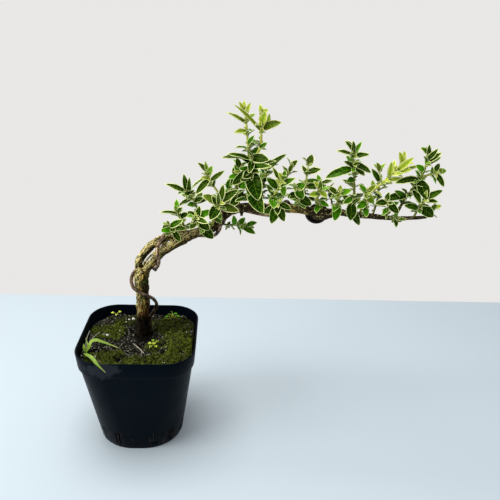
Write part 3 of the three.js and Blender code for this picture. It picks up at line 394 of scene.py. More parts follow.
def make_piece(
    name: str, skin: Skin, material: Material, smooth: bool = True, sharp: float | None = None,
) -> bpy.types.Object:
    """Put a skin into a Blender object at the origin, with its values as point attributes.

    Args:
        name: the piece's name.
        skin: points in millimetres, faces and values.
        material: its finish.
        smooth: whether faces are shaded smooth.
        sharp: degrees beyond which an edge stays sharp; none does without it.

    Returns:
        The new object, linked to the scene.
    """
    mesh = bpy.data.meshes.new(name)
    mesh.from_pydata((skin.points * MM).tolist(), [], skin.faces)
    store(mesh, skin.values)
    mesh.polygons.foreach_set("use_smooth", np.full(len(mesh.polygons), smooth))
    mesh.materials.append(material)
    mesh.update()
    if sharp is not None:
        mesh.set_sharp_from_angle(angle=math.radians(sharp))
    piece = bpy.data.objects.new(name, mesh)
    bpy.context.collection.objects.link(piece)
    return piece


def apply_modifier(piece: bpy.types.Object, kind: str, **settings: object) -> None:
    """Add a modifier, set it up and apply it at once.

    Args:
        piece: the object.
        kind: the modifier's type.
        **settings: its properties.
    """
    modifier = piece.modifiers.new(kind.lower(), kind)
    for key, value in settings.items():
        setattr(modifier, key, value)
    with bpy.context.temp_override(object=piece, active_object=piece, selected_objects=[piece]):
        bpy.ops.object.modifier_apply(modifier=modifier.name)


def settle_piece(piece: bpy.types.Object, slot: str, *nodes: str) -> None:
    """Attach a piece to the body it rides on and hide the frame nodes that it stands for.

    Args:
        piece: the object.
        slot: a material slot's name; it is not used.
        *nodes: frame nodes that it replaces.
    """
    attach(piece, BODY)
    if nodes:
        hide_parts(*nodes)
    LOG.info("%s: %d faces", piece.name, len(piece.data.polygons))


# ---------------------------------------------------------------- finishes


class Graph:
    """A material's node tree with short ways to add and join its nodes."""

    def __init__(self, name: str) -> None:
        """Make an empty material with a principled shader.

        Args:
            name: the material's name.
        """
        self.material = bpy.data.materials.new(name)
        self.material.use_nodes = True
        self.tree = self.material.node_tree

    def add(self, kind: str, inputs: dict[str | int, object], **settings: object) -> bpy.types.Node:
        """Add a node, set its properties and fill its inputs.

        Args:
            kind: the node's type, without the ShaderNode before it.
            inputs: another node's output or a plain value, by the input's name or number.
            **settings: its properties.

        Returns:
            The node.
        """
        node = self.tree.nodes.new("ShaderNode" + kind)
        for key, value in settings.items():
            setattr(node, key, value)
        self.fill(node, inputs)
        return node

    def fill(self, node: bpy.types.Node, inputs: dict[str | int, object]) -> None:
        """Join a node's inputs to other nodes' outputs, or set their plain values.

        Args:
            node: the node.
            inputs: output or plain value, by the input's name or number.
        """
        for key, value in inputs.items():
            if isinstance(value, Socket):
                self.tree.links.new(value, node.inputs[key])
            else:
                node.inputs[key].default_value = value

    def place(self) -> Socket:
        """Object coordinates in metres."""
        return self.add("TexCoord", {}).outputs["Object"]

    def parts(self, vector: Socket) -> tuple[Socket, ...]:
        """A vector's x, y and z."""
        return tuple(self.add("SeparateXYZ", {0: vector}).outputs)

    def value(self, name: str, output: str = "Fac") -> Socket:
        """A number stored at the mesh's points, or a vector where output is Vector."""
        return self.add("Attribute", {}, attribute_name=name).outputs[output]

    def scaled(self, vector: Socket, scale: Point) -> Socket:
        """A vector stretched along its axes."""
        return self.add("Mapping", {"Vector": vector, "Scale": scale}).outputs["Vector"]

    def grain(self, vector: Socket, scale: float, detail: float = 3, rough: float = 0.55) -> Socket:
        """Noise texture from 0 to 1, with so many finer octaves, each rough times as strong."""
        inputs = {"Vector": vector, "Scale": scale, "Detail": detail, "Roughness": rough}
        return self.add("TexNoise", inputs).outputs["Fac"]

    def cells(self, vector: Socket, scale: float) -> Socket:
        """Distance to the nearest point of a cell pattern."""
        return self.add("TexVoronoi", {"Vector": vector, "Scale": scale}).outputs["Distance"]

    def sum(self, kind: str, *numbers: Socket | float) -> Socket:
        """One step of arithmetic, named by kind, on one or two numbers."""
        return self.add("Math", dict(enumerate(numbers)), operation=kind).outputs[0]

    def times(self, a: Socket | float, b: Socket | float) -> Socket:
        """Product of two numbers."""
        return self.sum("MULTIPLY", a, b)

    def plus(self, a: Socket | float, b: Socket | float) -> Socket:
        """Sum of two numbers."""
        return self.sum("ADD", a, b)

    def away(self, value: Socket, middle: float) -> Socket:
        """How far a number is from a middle value, on either side."""
        return self.sum("ABSOLUTE", self.plus(value, -middle))

    def span(self, value: Socket, low: float, high: float, start: float = 0, end: float = 1) -> Socket:
        """Map a number from low..high to start..end, smoothly and without leaving that range."""
        inputs = {"Value": value, "From Min": low, "From Max": high, "To Min": start, "To Max": end}
        return self.add("MapRange", inputs, interpolation_type="SMOOTHSTEP").outputs["Result"]

    def blend(self, share: Socket, a: Socket | Colour, b: Socket | Colour) -> Socket:
        """Colour a turning into colour b as share goes from 0 to 1."""
        a, b = (c if isinstance(c, Socket) else (*c, 1.0) for c in (a, b))
        return self.add("Mix", {0: share, 6: a, 7: b}, data_type="RGBA").outputs[2]

    def relief(self, height: Socket, strength: float, depth: float) -> Socket:
        """Bump from a height; depth is in metres."""
        inputs = {"Height": height, "Strength": strength, "Distance": depth}
        return self.add("Bump", inputs).outputs["Normal"]

    def finish(self, **sockets: object) -> Material:
        """Set the shader's sockets by name, with _ for a space, and hand back the material."""
        self.fill(self.tree.nodes["Principled BSDF"], {k.replace("_", " "): v for k, v in sockets.items()})
        return self.material


@dataclass(frozen=True)
class PotPlastic:
    """Thin black moulded plastic: a soft sheen, faint scuffs, a dried splash, a painted highlight along the
    band's lower edge and earth at the slits.
    """

    base: Colour = (0.0008, 0.0024, 0.0050)
    wear_and_highlight: Colour = (0.005, 0.008, 0.011)
    splash: Colour = (0.026, 0.031, 0.037)
    earth: Colour = (0.075, 0.036, 0.018)
    tint: Colour = (0.45, 0.75, 1.0)
    splash_x: float = -0.023
    splash_z: float = 0.0905
    ledge_highlight_z: float = 0.0823
    slit_top: float = 0.021

    def material(self) -> Material:
        """Build the material.

        Returns:
            The material.
        """
        g = Graph("pot_plastic")
        place = g.place()
        x, y, z = g.parts(place)
        scuffs = g.span(g.grain(g.scaled(place, (60, 60, 9)), 3.0, 5, 0.7), 0.5, 0.8)
        colour = g.blend(g.times(scuffs, 0.5), self.base, self.wear_and_highlight)
        # The splash lies on the front left of the rim band, with a ragged edge.
        across, up = g.away(x, self.splash_x), g.away(z, self.splash_z)
        reach = g.plus(g.times(across, 44.0), g.times(up, 80.0))
        broken = g.times(g.plus(g.grain(place, 170.0, 4, 0.65), -0.5), 1.3)
        patch = g.span(g.plus(reach, broken), 0.95, 0.55)
        share = g.times(g.times(patch, g.span(y, -0.038, -0.046)), 0.75)
        colour = g.blend(share, colour, self.splash)
        # Painted highlight: a pale line along the band's lower edge, where light catches the step.
        ledge = g.span(g.away(z, self.ledge_highlight_z), 0.0008, 0.0003, 0.0, 0.8)
        wear_and_highlight = g.times(ledge, g.span(g.grain(place, 120.0), 0.35, 0.55, 0.4, 1.0))
        colour = g.blend(wear_and_highlight, colour, self.splash)
        # Earth has washed out of the slits round the foot.
        low = g.span(z, self.slit_top, 0.012)
        streaks = g.span(g.grain(g.scaled(place, (1, 1, 0.22)), 330.0, 3, 0.6), 0.56, 0.70)
        colour = g.blend(g.times(g.times(low, streaks), 0.75), colour, self.earth)
        rough = g.span(g.grain(place, 45.0, 4, 0.6), 0.3, 0.7, 0.34, 0.45)
        return g.finish(
            Base_Color=colour, Roughness=g.plus(rough, g.times(share, 0.3)),
            Normal=g.relief(g.grain(place, 900.0, 2, 0.5), 0.10, 0.0002),
            Specular_IOR_Level=0.05, Specular_Tint=(*self.tint, 1.0),
        )


@dataclass(frozen=True)
class PottingMix:
    """Dark moist mix: near black where wet, brown clods, grey specks where it has dried, painted shade in
    the hollow at the trunk's foot.
    """

    wet: Colour = (0.0020, 0.0018, 0.0012)
    brown: Colour = (0.030, 0.026, 0.015)
    dry: Colour = (0.50, 0.50, 0.40)
    olive: Colour = (0.040, 0.048, 0.006)
    bright: Colour = (0.150, 0.200, 0.018)
    damp_shade_x: float = 0.003
    damp_shade_y: float = 0.009

    def material(self) -> Material:
        """Build the material.

        Returns:
            The material.
        """
        g = Graph("potting_mix")
        place = g.place()
        x, y, _ = g.parts(place)
        clods = g.span(g.grain(place, 300.0, 5, 0.7), 0.42, 0.62)
        colour = g.blend(clods, self.wet, self.brown)
        specks = g.span(g.grain(place, 560.0, 5, 0.75), 0.55, 0.63)
        tone = g.times(g.span(g.value("tone"), 0.45, 1.0), 0.8)
        colour = g.blend(g.sum("MAXIMUM", g.times(specks, 0.8), tone), colour, self.dry)
        dark = g.span(g.grain(place, 430.0, 4, 0.7), 0.44, 0.56)
        grown = g.blend(g.value("sun"), self.olive, self.bright)
        grown = g.blend(dark, self.wet, grown)
        ragged = g.times(g.grain(place, 260.0, 3, 0.6), 0.6)
        cover = g.span(g.plus(g.value("moss"), ragged), 0.55, 1.05)
        colour = g.blend(g.times(cover, 0.9), colour, grown)
        # The hollow round the trunk's foot is drawn near black: partly wet earth and partly painted shade.
        east = g.sum("POWER", g.times(g.plus(x, -self.damp_shade_x), 90.0), 2.0)
        north = g.sum("POWER", g.times(g.plus(y, -self.damp_shade_y), 62.0), 2.0)
        ragged = g.times(g.grain(place, 150.0, 3, 0.6), 0.9)
        damp_and_shade = g.span(g.plus(g.plus(east, north), ragged), 1.35, 0.75)
        colour = g.blend(g.times(damp_and_shade, 0.9), colour, self.wet)
        crumbs = g.span(g.cells(place, 900.0), 0.0, 0.8)
        normal = g.relief(g.plus(crumbs, g.grain(place, 1400.0, 3, 0.6)), 1.0, 0.0012)
        rough = g.span(clods, 0.0, 1.0, 0.62, 0.95)
        return g.finish(Base_Color=colour, Roughness=rough, Normal=normal, Specular_IOR_Level=0.05)


@dataclass(frozen=True)
class Perlite:
    """White puffed grains, a little soiled."""

    clean: Colour = (0.82, 0.80, 0.72)
    soiled: Colour = (0.26, 0.25, 0.20)

    def material(self) -> Material:
        """Build the material.

        Returns:
            The material.
        """
        g = Graph("perlite")
        place = g.place()
        colour = g.blend(g.span(g.grain(place, 700.0, 3, 0.6), 0.42, 0.68), self.clean, self.soiled)
        pits = g.relief(g.cells(place, 2500.0), 0.5, 0.0002)
        return g.finish(Base_Color=colour, Roughness=0.9, Normal=pits)


@dataclass(frozen=True)
class MossGreen:
    """Living moss: near black low down, partly its own colour and partly painted shade, olive to
    yellow-green towards its tips, which the value tip marks.

    It stands darker where the value sun is low, and grey dust lies on it where it is thin.
    """

    deep: Colour = (0.004, 0.006, 0.001)
    olive: Colour = (0.034, 0.046, 0.006)
    tip: Colour = (0.74, 0.92, 0.080)
    dust: Colour = (0.36, 0.36, 0.25)

    def material(self) -> Material:
        """Build the material.

        Returns:
            The material.
        """
        g = Graph("moss")
        place = g.place()
        patches = g.span(g.grain(place, 560.0, 4, 0.75), 0.44, 0.58)
        broken = g.times(g.grain(place, 1200.0, 2, 0.5), 0.3)
        height = g.span(g.plus(g.value("tip"), broken), 0.3, 1.15)
        lush = g.plus(g.times(g.value("sun"), 0.8), 0.2)
        lit = g.blend(g.times(patches, lush), self.olive, self.tip)
        # Grey soil dust lies where the moss is thin.
        thin = g.span(g.grain(place, 110.0, 3, 0.6), 0.44, 0.62)
        dusty = g.times(thin, g.span(g.grain(place, 1000.0, 3, 0.7), 0.50, 0.60))
        lit = g.blend(g.times(dusty, 0.75), lit, self.dust)
        # Painted shade: low on each shoot and between the shoots the moss is drawn near black, partly its
        # own colour.
        colour = g.blend(height, self.deep, lit)
        return g.finish(Base_Color=colour, Roughness=0.8, Specular_IOR_Level=0.1)


@dataclass(frozen=True)
class Bark:
    """Flaking bark: golden plates, pale flakes and dark cracks; darker and smoother to the tip, paler on
    one side from painted light, near black at the foot from wet bark and painted shade.
    """

    gold: Colour = (0.64, 0.45, 0.095)
    tan: Colour = (0.046, 0.031, 0.009)
    crack: Colour = (0.006, 0.004, 0.002)
    pale: Colour = (0.96, 0.83, 0.36)
    rust: Colour = (0.30, 0.12, 0.030)
    twig: Colour = (0.046, 0.031, 0.014)
    damp_and_shade: Colour = (0.003, 0.0025, 0.0015)
    lichen: Colour = (0.085, 0.115, 0.022)
    rubbed_x: float = 0.126
    rusty_z: float = 0.128
    damp_shade_z: float = 0.127

    def material(self) -> Material:
        """Build the material.

        Returns:
            The material.
        """
        g = Graph("bark")
        place = g.place()
        x, _, z = g.parts(place)
        limb = g.scaled(g.value("limb", "Vector"), (1, 1, 0.3))
        # Painted light: bark facing the upper left front is drawn paler and more golden, bark facing away
        # darker.
        painted_sunlight = g.span(g.value("bleach"), 0.15, 1.0, -0.28, 0.13)
        body = g.plus(g.times(g.value("plate"), 0.2), g.grain(limb, 0.42, 5, 0.75))
        colour = g.blend(g.span(g.plus(body, painted_sunlight), 0.40, 0.66), self.tan, self.gold)
        flakes = g.span(g.plus(g.grain(limb, 0.7, 5, 0.75), painted_sunlight), 0.50, 0.60)
        colour = g.blend(g.times(flakes, 0.9), colour, self.pale)
        furrow = g.away(g.grain(g.scaled(limb, (1, 1, 0.6)), 0.55, 4, 0.7), 0.5)
        colour = g.blend(g.span(furrow, 0.060, 0.020, 0.0, 0.97), colour, self.crack)
        colour = g.blend(g.span(g.grain(place, 75.0, 3, 0.6), 0.54, 0.70, 0.0, 0.6), colour, self.lichen)
        rust = g.times(g.span(z, self.rusty_z, 0.112), g.span(g.grain(place, 300.0, 3, 0.6), 0.45, 0.62))
        colour = g.blend(g.times(rust, 0.8), colour, self.rust)
        twig = g.blend(g.span(g.grain(place, 330.0, 4, 0.7), 0.48, 0.68), self.twig, self.tan)
        twig = g.blend(g.span(g.grain(place, 420.0, 3, 0.7), 0.55, 0.66, 0.0, 0.7), twig, self.pale)
        colour = g.blend(g.span(g.value("branchward"), 0.25, 0.6), colour, twig)
        # Just before the burl the bark is rubbed pale.
        rubbed = g.span(g.away(x, self.rubbed_x), 0.016, 0.007)
        rubbed = g.times(rubbed, g.span(g.grain(place, 260.0, 3, 0.6), 0.42, 0.6, 0.1, 0.9))
        colour = g.blend(rubbed, colour, self.gold)
        colour = g.blend(g.span(g.value("relief"), 0.5, 0.15), colour, self.crack)
        # Painted shade: the trunk's foot is drawn near black, partly wet bark and partly shade.
        foot = g.span(g.plus(z, g.times(g.grain(place, 120.0, 3, 0.6), 0.022)), self.damp_shade_z, 0.115)
        colour = g.blend(g.times(foot, 0.97), colour, self.damp_and_shade)
        fibres = g.relief(g.grain(limb, 1.6, 5, 0.7), 1.0, 0.0013)
        return g.finish(Base_Color=colour, Roughness=0.82, Normal=fibres, Specular_IOR_Level=0.08)


@dataclass(frozen=True)
class WireAnodised:
    """Brown anodised wire: satin metal, rubbed in places, with painted shade on its end past the burl."""

    brown: Colour = (0.070, 0.042, 0.026)
    painted_shade_end: Colour = (0.012, 0.009, 0.008)
    rubbed: Colour = (0.42, 0.29, 0.17)
    painted_shade_x: float = 0.130

    def material(self) -> Material:
        """Build the material.

        Returns:
            The material.
        """
        g = Graph("wire_anodised")
        place = g.place()
        # Painted shade: the end past the burl, coiled behind the branch, is drawn near black and has no
        # rubbed patches.
        outside_painted_shade = g.span(g.parts(place)[0], self.painted_shade_x, 0.100)
        wear = g.times(outside_painted_shade, g.span(g.grain(place, 220.0, 4, 0.7), 0.42, 0.66))
        colour = g.blend(wear, g.blend(outside_painted_shade, self.painted_shade_end, self.brown), self.rubbed)
        rough = g.span(g.grain(place, 500.0, 3, 0.6), 0.3, 0.7, 0.28, 0.42)
        satin = g.relief(g.grain(place, 1500.0), 0.15, 0.0002)
        return g.finish(Base_Color=colour, Roughness=rough, Metallic=0.8, Normal=satin)


@dataclass(frozen=True)
class LeafBlade:
    """Variegated leaf: glossy green with a cream margin, pale veins, yellower when young.

    The mesh gives half (mm of half width), across (0 to 1 from midrib to margin), place (0 to 1
    along), age (1 for a young leaf), tone, trim (margin width in mm), under (1 on the lower
    side) and stem (1 on stems).
    """

    deep: Colour = (0.0015, 0.0180, 0.0003)
    green: Colour = (0.070, 0.330, 0.0010)
    light: Colour = (0.215, 0.430, 0.010)
    cream: Colour = (0.88, 0.97, 0.36)
    young: Colour = (0.78, 0.78, 0.110)
    young_edge: Colour = (0.94, 0.94, 0.48)
    lower: Colour = (0.022, 0.070, 0.006)
    woody: Colour = (0.070, 0.050, 0.020)
    shoot: Colour = (0.24, 0.30, 0.060)
    gloss: Colour = (0.7, 1.0, 0.2)
    glow: Colour = (0.4, 0.8, 0.15)

    def material(self) -> Material:
        """Build the material.

        Returns:
            The material.
        """
        g = Graph("leaf_blade")
        place = g.place()
        age, tone, half, across = (g.value(name) for name in ("age", "tone", "half", "across"))
        edge = g.times(g.sum("SUBTRACT", 1.0, across), half)
        mottle = g.grain(place, 380.0, 4, 0.6)
        green = g.blend(g.span(g.plus(mottle, tone), 0.78, 1.46), self.deep, self.green)
        streaks = g.span(g.grain(place, 900.0, 3, 0.6), 0.56, 0.76)
        green = g.blend(g.times(streaks, 0.4), green, self.light)
        rib = g.span(g.times(across, half), 0.22, 0.06)
        green = g.blend(g.times(rib, 0.6), green, self.light)
        slant = g.plus(g.times(g.value("place"), 44.0), g.times(across, -7.0))
        veins = g.span(g.sum("SINE", slant), 0.86, 1.0)
        green = g.blend(g.times(veins, 0.3), green, self.light)
        core = g.span(g.plus(across, g.times(mottle, 0.8)), 1.1, 0.6)
        young = g.blend(g.times(core, 0.75), self.young, self.light)
        body = g.blend(g.span(age, 0.30, 0.85), green, young)
        wander = g.times(g.plus(g.grain(place, 520.0, 3, 0.6), -0.5), 0.6)
        margin = g.plus(g.sum("SUBTRACT", g.value("trim"), edge), wander)
        rim = g.blend(age, self.cream, self.young_edge)
        colour = g.blend(g.span(margin, -0.05, 0.08), body, rim)
        # Painted shade: the lower side is drawn dark green.
        colour = g.blend(g.times(g.value("under"), 0.6), colour, self.lower)
        bark = g.span(g.plus(g.value("place"), g.times(g.grain(place, 500.0), 0.5)), 0.3, 1.0)
        sprout = g.blend(age, self.shoot, self.young)
        stem = g.blend(g.sum("MAXIMUM", bark, g.times(age, 0.9)), self.woody, sprout)
        colour = g.blend(g.value("stem"), colour, stem)
        height = g.plus(g.times(veins, -0.5), g.grain(place, 1500.0, 2, 0.5))
        rough = g.span(g.grain(place, 300.0), 0.3, 0.7, 0.24, 0.38)
        return g.finish(
            Base_Color=colour, Roughness=rough, Normal=g.relief(height, 0.25, 0.0003),
            Specular_IOR_Level=0.22, Specular_Tint=(*self.gloss, 1.0),
            Subsurface_Weight=0.05, Subsurface_Radius=self.glow, Subsurface_Scale=0.001,
        )


@dataclass(frozen=True)
class GrassBlade:
    """Fresh grass: light green, paler along the middle, browning at the tip."""

    green: Colour = (0.15, 0.29, 0.020)
    pale: Colour = (0.52, 0.61, 0.110)
    dry: Colour = (0.42, 0.36, 0.14)

    def material(self) -> Material:
        """Build the material.

        Returns:
            The material.
        """
        g = Graph("grass_blade")
        place = g.place()
        lines = g.span(g.sum("SINE", g.times(g.value("across"), 22.0)), 0.0, 1.0)
        lines = g.times(lines, g.span(g.grain(place, 200.0, 3, 0.6), 0.35, 0.65, 0.2, 1.0))
        colour = g.blend(lines, self.green, self.pale)
        dry = g.span(g.plus(g.value("place"), g.times(g.grain(place, 300.0), 0.3)), 0.98, 1.2)
        return g.finish(Base_Color=g.blend(dry, colour, self.dry), Roughness=0.45, Specular_IOR_Level=0.3)


@dataclass(frozen=True)
class DryTwig:
    """Bleached dead twig with fine cracks along it."""

    pale: Colour = (0.42, 0.38, 0.30)
    dark: Colour = (0.16, 0.13, 0.09)

    def material(self) -> Material:
        """Build the material.

        Returns:
            The material.
        """
        g = Graph("dry_twig")
        place = g.place()
        colour = g.blend(g.span(g.grain(place, 600.0, 4, 0.7), 0.5, 0.75), self.pale, self.dark)
        cracks = g.relief(g.grain(place, 1500.0), 0.5, 0.0003)
        return g.finish(Base_Color=colour, Roughness=0.85, Normal=cracks)

# ---------------------------------------------------------------- pot


def rounded_square(half: float, corner: float, z: float, steps: int, flats: int = 1) -> Array:
    """Ring of a square with quarter-circle corners: each corner's centre stands half - corner out.

    Args:
        half: half of the side.
        corner: corner radius.
        z: height of the ring.
        steps: spans in each corner.
        flats: spans in each flat side.

    Returns:
        (4 (steps + flats), 3) array, anticlockwise seen from above.
    """
    turn = np.radians(90 * np.arange(steps + 1) / steps)
    arc = np.stack([np.cos(turn), np.sin(turn)], axis=-1) * corner + (half - corner)
    share = np.arange(1, flats)[:, None] / flats
    quarter = np.array([[0, 1.0], [-1, 0]])
    end, start = arc[-1], arc[0] @ quarter
    side = np.vstack([arc, end + (start - end) * share])
    ring = np.vstack([side @ np.linalg.matrix_power(quarter, k) for k in range(4)])
    return np.column_stack([ring, np.full(len(ring), z)])


@dataclass
class Pot:
    """Thin square pot with rounded corners, a rim band and pairs of slits round its foot."""

    height: float = 97
    rim_half: float = 50
    rim_corner: float = 25
    rim_band: float = 14.5
    rim_proud: float = 1.3
    body_half: float = 47.6
    body_corner: float = 24.5
    base_half: float = 37.2
    base_corner: float = 33
    wall: float = 1.4
    floor: float = 2.4
    corner_steps: int = 24
    slit_angles: tuple[float, ...] = (19, 44, 69)
    slit_width: float = 1.3
    slit_bar: float = 1.3
    slit_low: float = 4.5
    slit_high: float = 18
    drain_radius: float = 4
    drain_ring: float = 21
    sharp: float = 32

    def body_at(self, z: float) -> tuple[float, float]:
        """Half width and corner radius of the outside, straight from the foot to the rim band.

        Args:
            z: height in mm.

        Returns:
            Both in mm.
        """
        t = z / (self.height - self.rim_band)
        half = self.base_half + (self.body_half - self.base_half) * t
        return half, self.base_corner + (self.body_corner - self.base_corner) * t

    def shell(self) -> Skin:
        """Loft of rounded squares up the outside, over the lip and down the inside to the floor.

        Returns:
            The uncut pot.
        """
        ledge = self.height - self.rim_band
        foot, turn = self.base_half, self.base_corner
        rings = [(foot - 0.6, turn - 0.6, 0.0), (foot - 0.15, turn, 0.15)]
        rings += [(*self.body_at(z), z) for z in np.linspace(0.6, ledge - 0.5, 7)]
        body, corner = self.body_half, self.body_corner
        for out, z in ((0.25, -0.12), (0.95, 0.0), (1.2, 0.15), (self.rim_proud, 0.6)):
            rings.append((body + out, corner + 0.4 * out, ledge + z))
        rim, turn = self.rim_half, self.rim_corner
        lip = ((0.0, -0.8), (0.12, -0.3), (0.4, 0.0), (1.0, 0.0), (1.3, -0.2), (self.wall, -0.7))
        for inward, z in lip:
            rings.append((rim - inward, turn - inward, self.height + z))
        inner, inner_corner = self.body_at(self.floor)
        rings.append((body - self.wall, corner - self.wall, ledge))
        rings.append((inner - self.wall, inner_corner - self.wall, self.floor + 1.2))
        rings.append((inner - self.wall - 1.2, inner_corner - self.wall - 1.2, self.floor))
        loft = np.vstack([rounded_square(*ring, self.corner_steps) for ring in rings])
        return Skin(loft, ring_faces(len(rings), 4 * (self.corner_steps + 1)))

    def cutters(self) -> Skin:
        """Boxes that cut the slits, turned out from each corner's centre, and the drain cylinders.

        Returns:
            All the cutters in one skin.
        """
        square = ((-1, -1), (1, -1), (1, 1), (-1, 1))
        box = np.array([[x, y, z] for z in (self.slit_low, self.slit_high) for x, y in square], float)
        box[:, 0] = self.base_corner + 1.5 + 5.5 * box[:, 0]
        box[:, 1] *= self.slit_width / 2
        parts = []
        centre = self.base_half - self.base_corner
        for quarter in range(4):
            middle = math.radians(45 + 90 * quarter)
            ways = (math.cos(middle), math.sin(middle))
            foot = np.array([*(math.copysign(centre, way) for way in ways), 0])
            for angle in self.slit_angles:
                spin = np.array(Matrix.Rotation(math.radians(angle + 90 * quarter), 3, "Z"))
                for side in (-0.5, 0.5):
                    shift = np.array([0, side * (self.slit_width + self.slit_bar), 0])
                    parts.append(Skin((box + shift) @ spin.T + foot, ring_faces(2, 4)))
        for k in range(4):
            turn = math.radians(90 * k)
            x, y = self.drain_ring * math.cos(turn), self.drain_ring * math.sin(turn)
            stations = np.array([[x, y, -1, self.drain_radius], [x, y, self.floor + 1, self.drain_radius]])
            parts.append(tube(stations, 20))
        return joined(parts)

    def build(self, plastic: Material) -> None:
        """Cut the slits and drains out of the shell and settle the pot.

        Args:
            plastic: the pot's finish.
        """
        pot = make_piece("nursery_pot", self.shell(), plastic)
        knives = make_piece("slit_knives", self.cutters(), plastic)
        apply_modifier(pot, "BOOLEAN", object=knives, operation="DIFFERENCE", solver="EXACT")
        bpy.data.objects.remove(knives)
        pot.data.set_sharp_from_angle(angle=math.radians(self.sharp))
        settle_piece(pot, "pot_plastic", "pot")


# ---------------------------------------------------------------- soil and what grows on it


@dataclass(frozen=True)
class MossZone:
    """A stretch of moss: its middle, half widths, height in mm, and how bright it is (0 to 1)."""

    x: float
    y: float
    wide: float
    deep: float
    tall: float
    sun: float


MOSS = [MossZone(*numbers) for numbers in (
    (34, -6, 17, 20, 2.6, 1.0), (26, -30, 24, 11, 2.2, 0.75), (26, 22, 22, 20, 2.2, 0.25),
    (-30, 14, 15, 14, 1.9, 0.8), (-24, -30, 18, 12, 1.8, 0.75), (-2, -32, 16, 9, 1.5, 0.7),
    (-14, 34, 18, 9, 1.3, 0.2), (14, -12, 10, 9, 1.2, 0.6),
)]


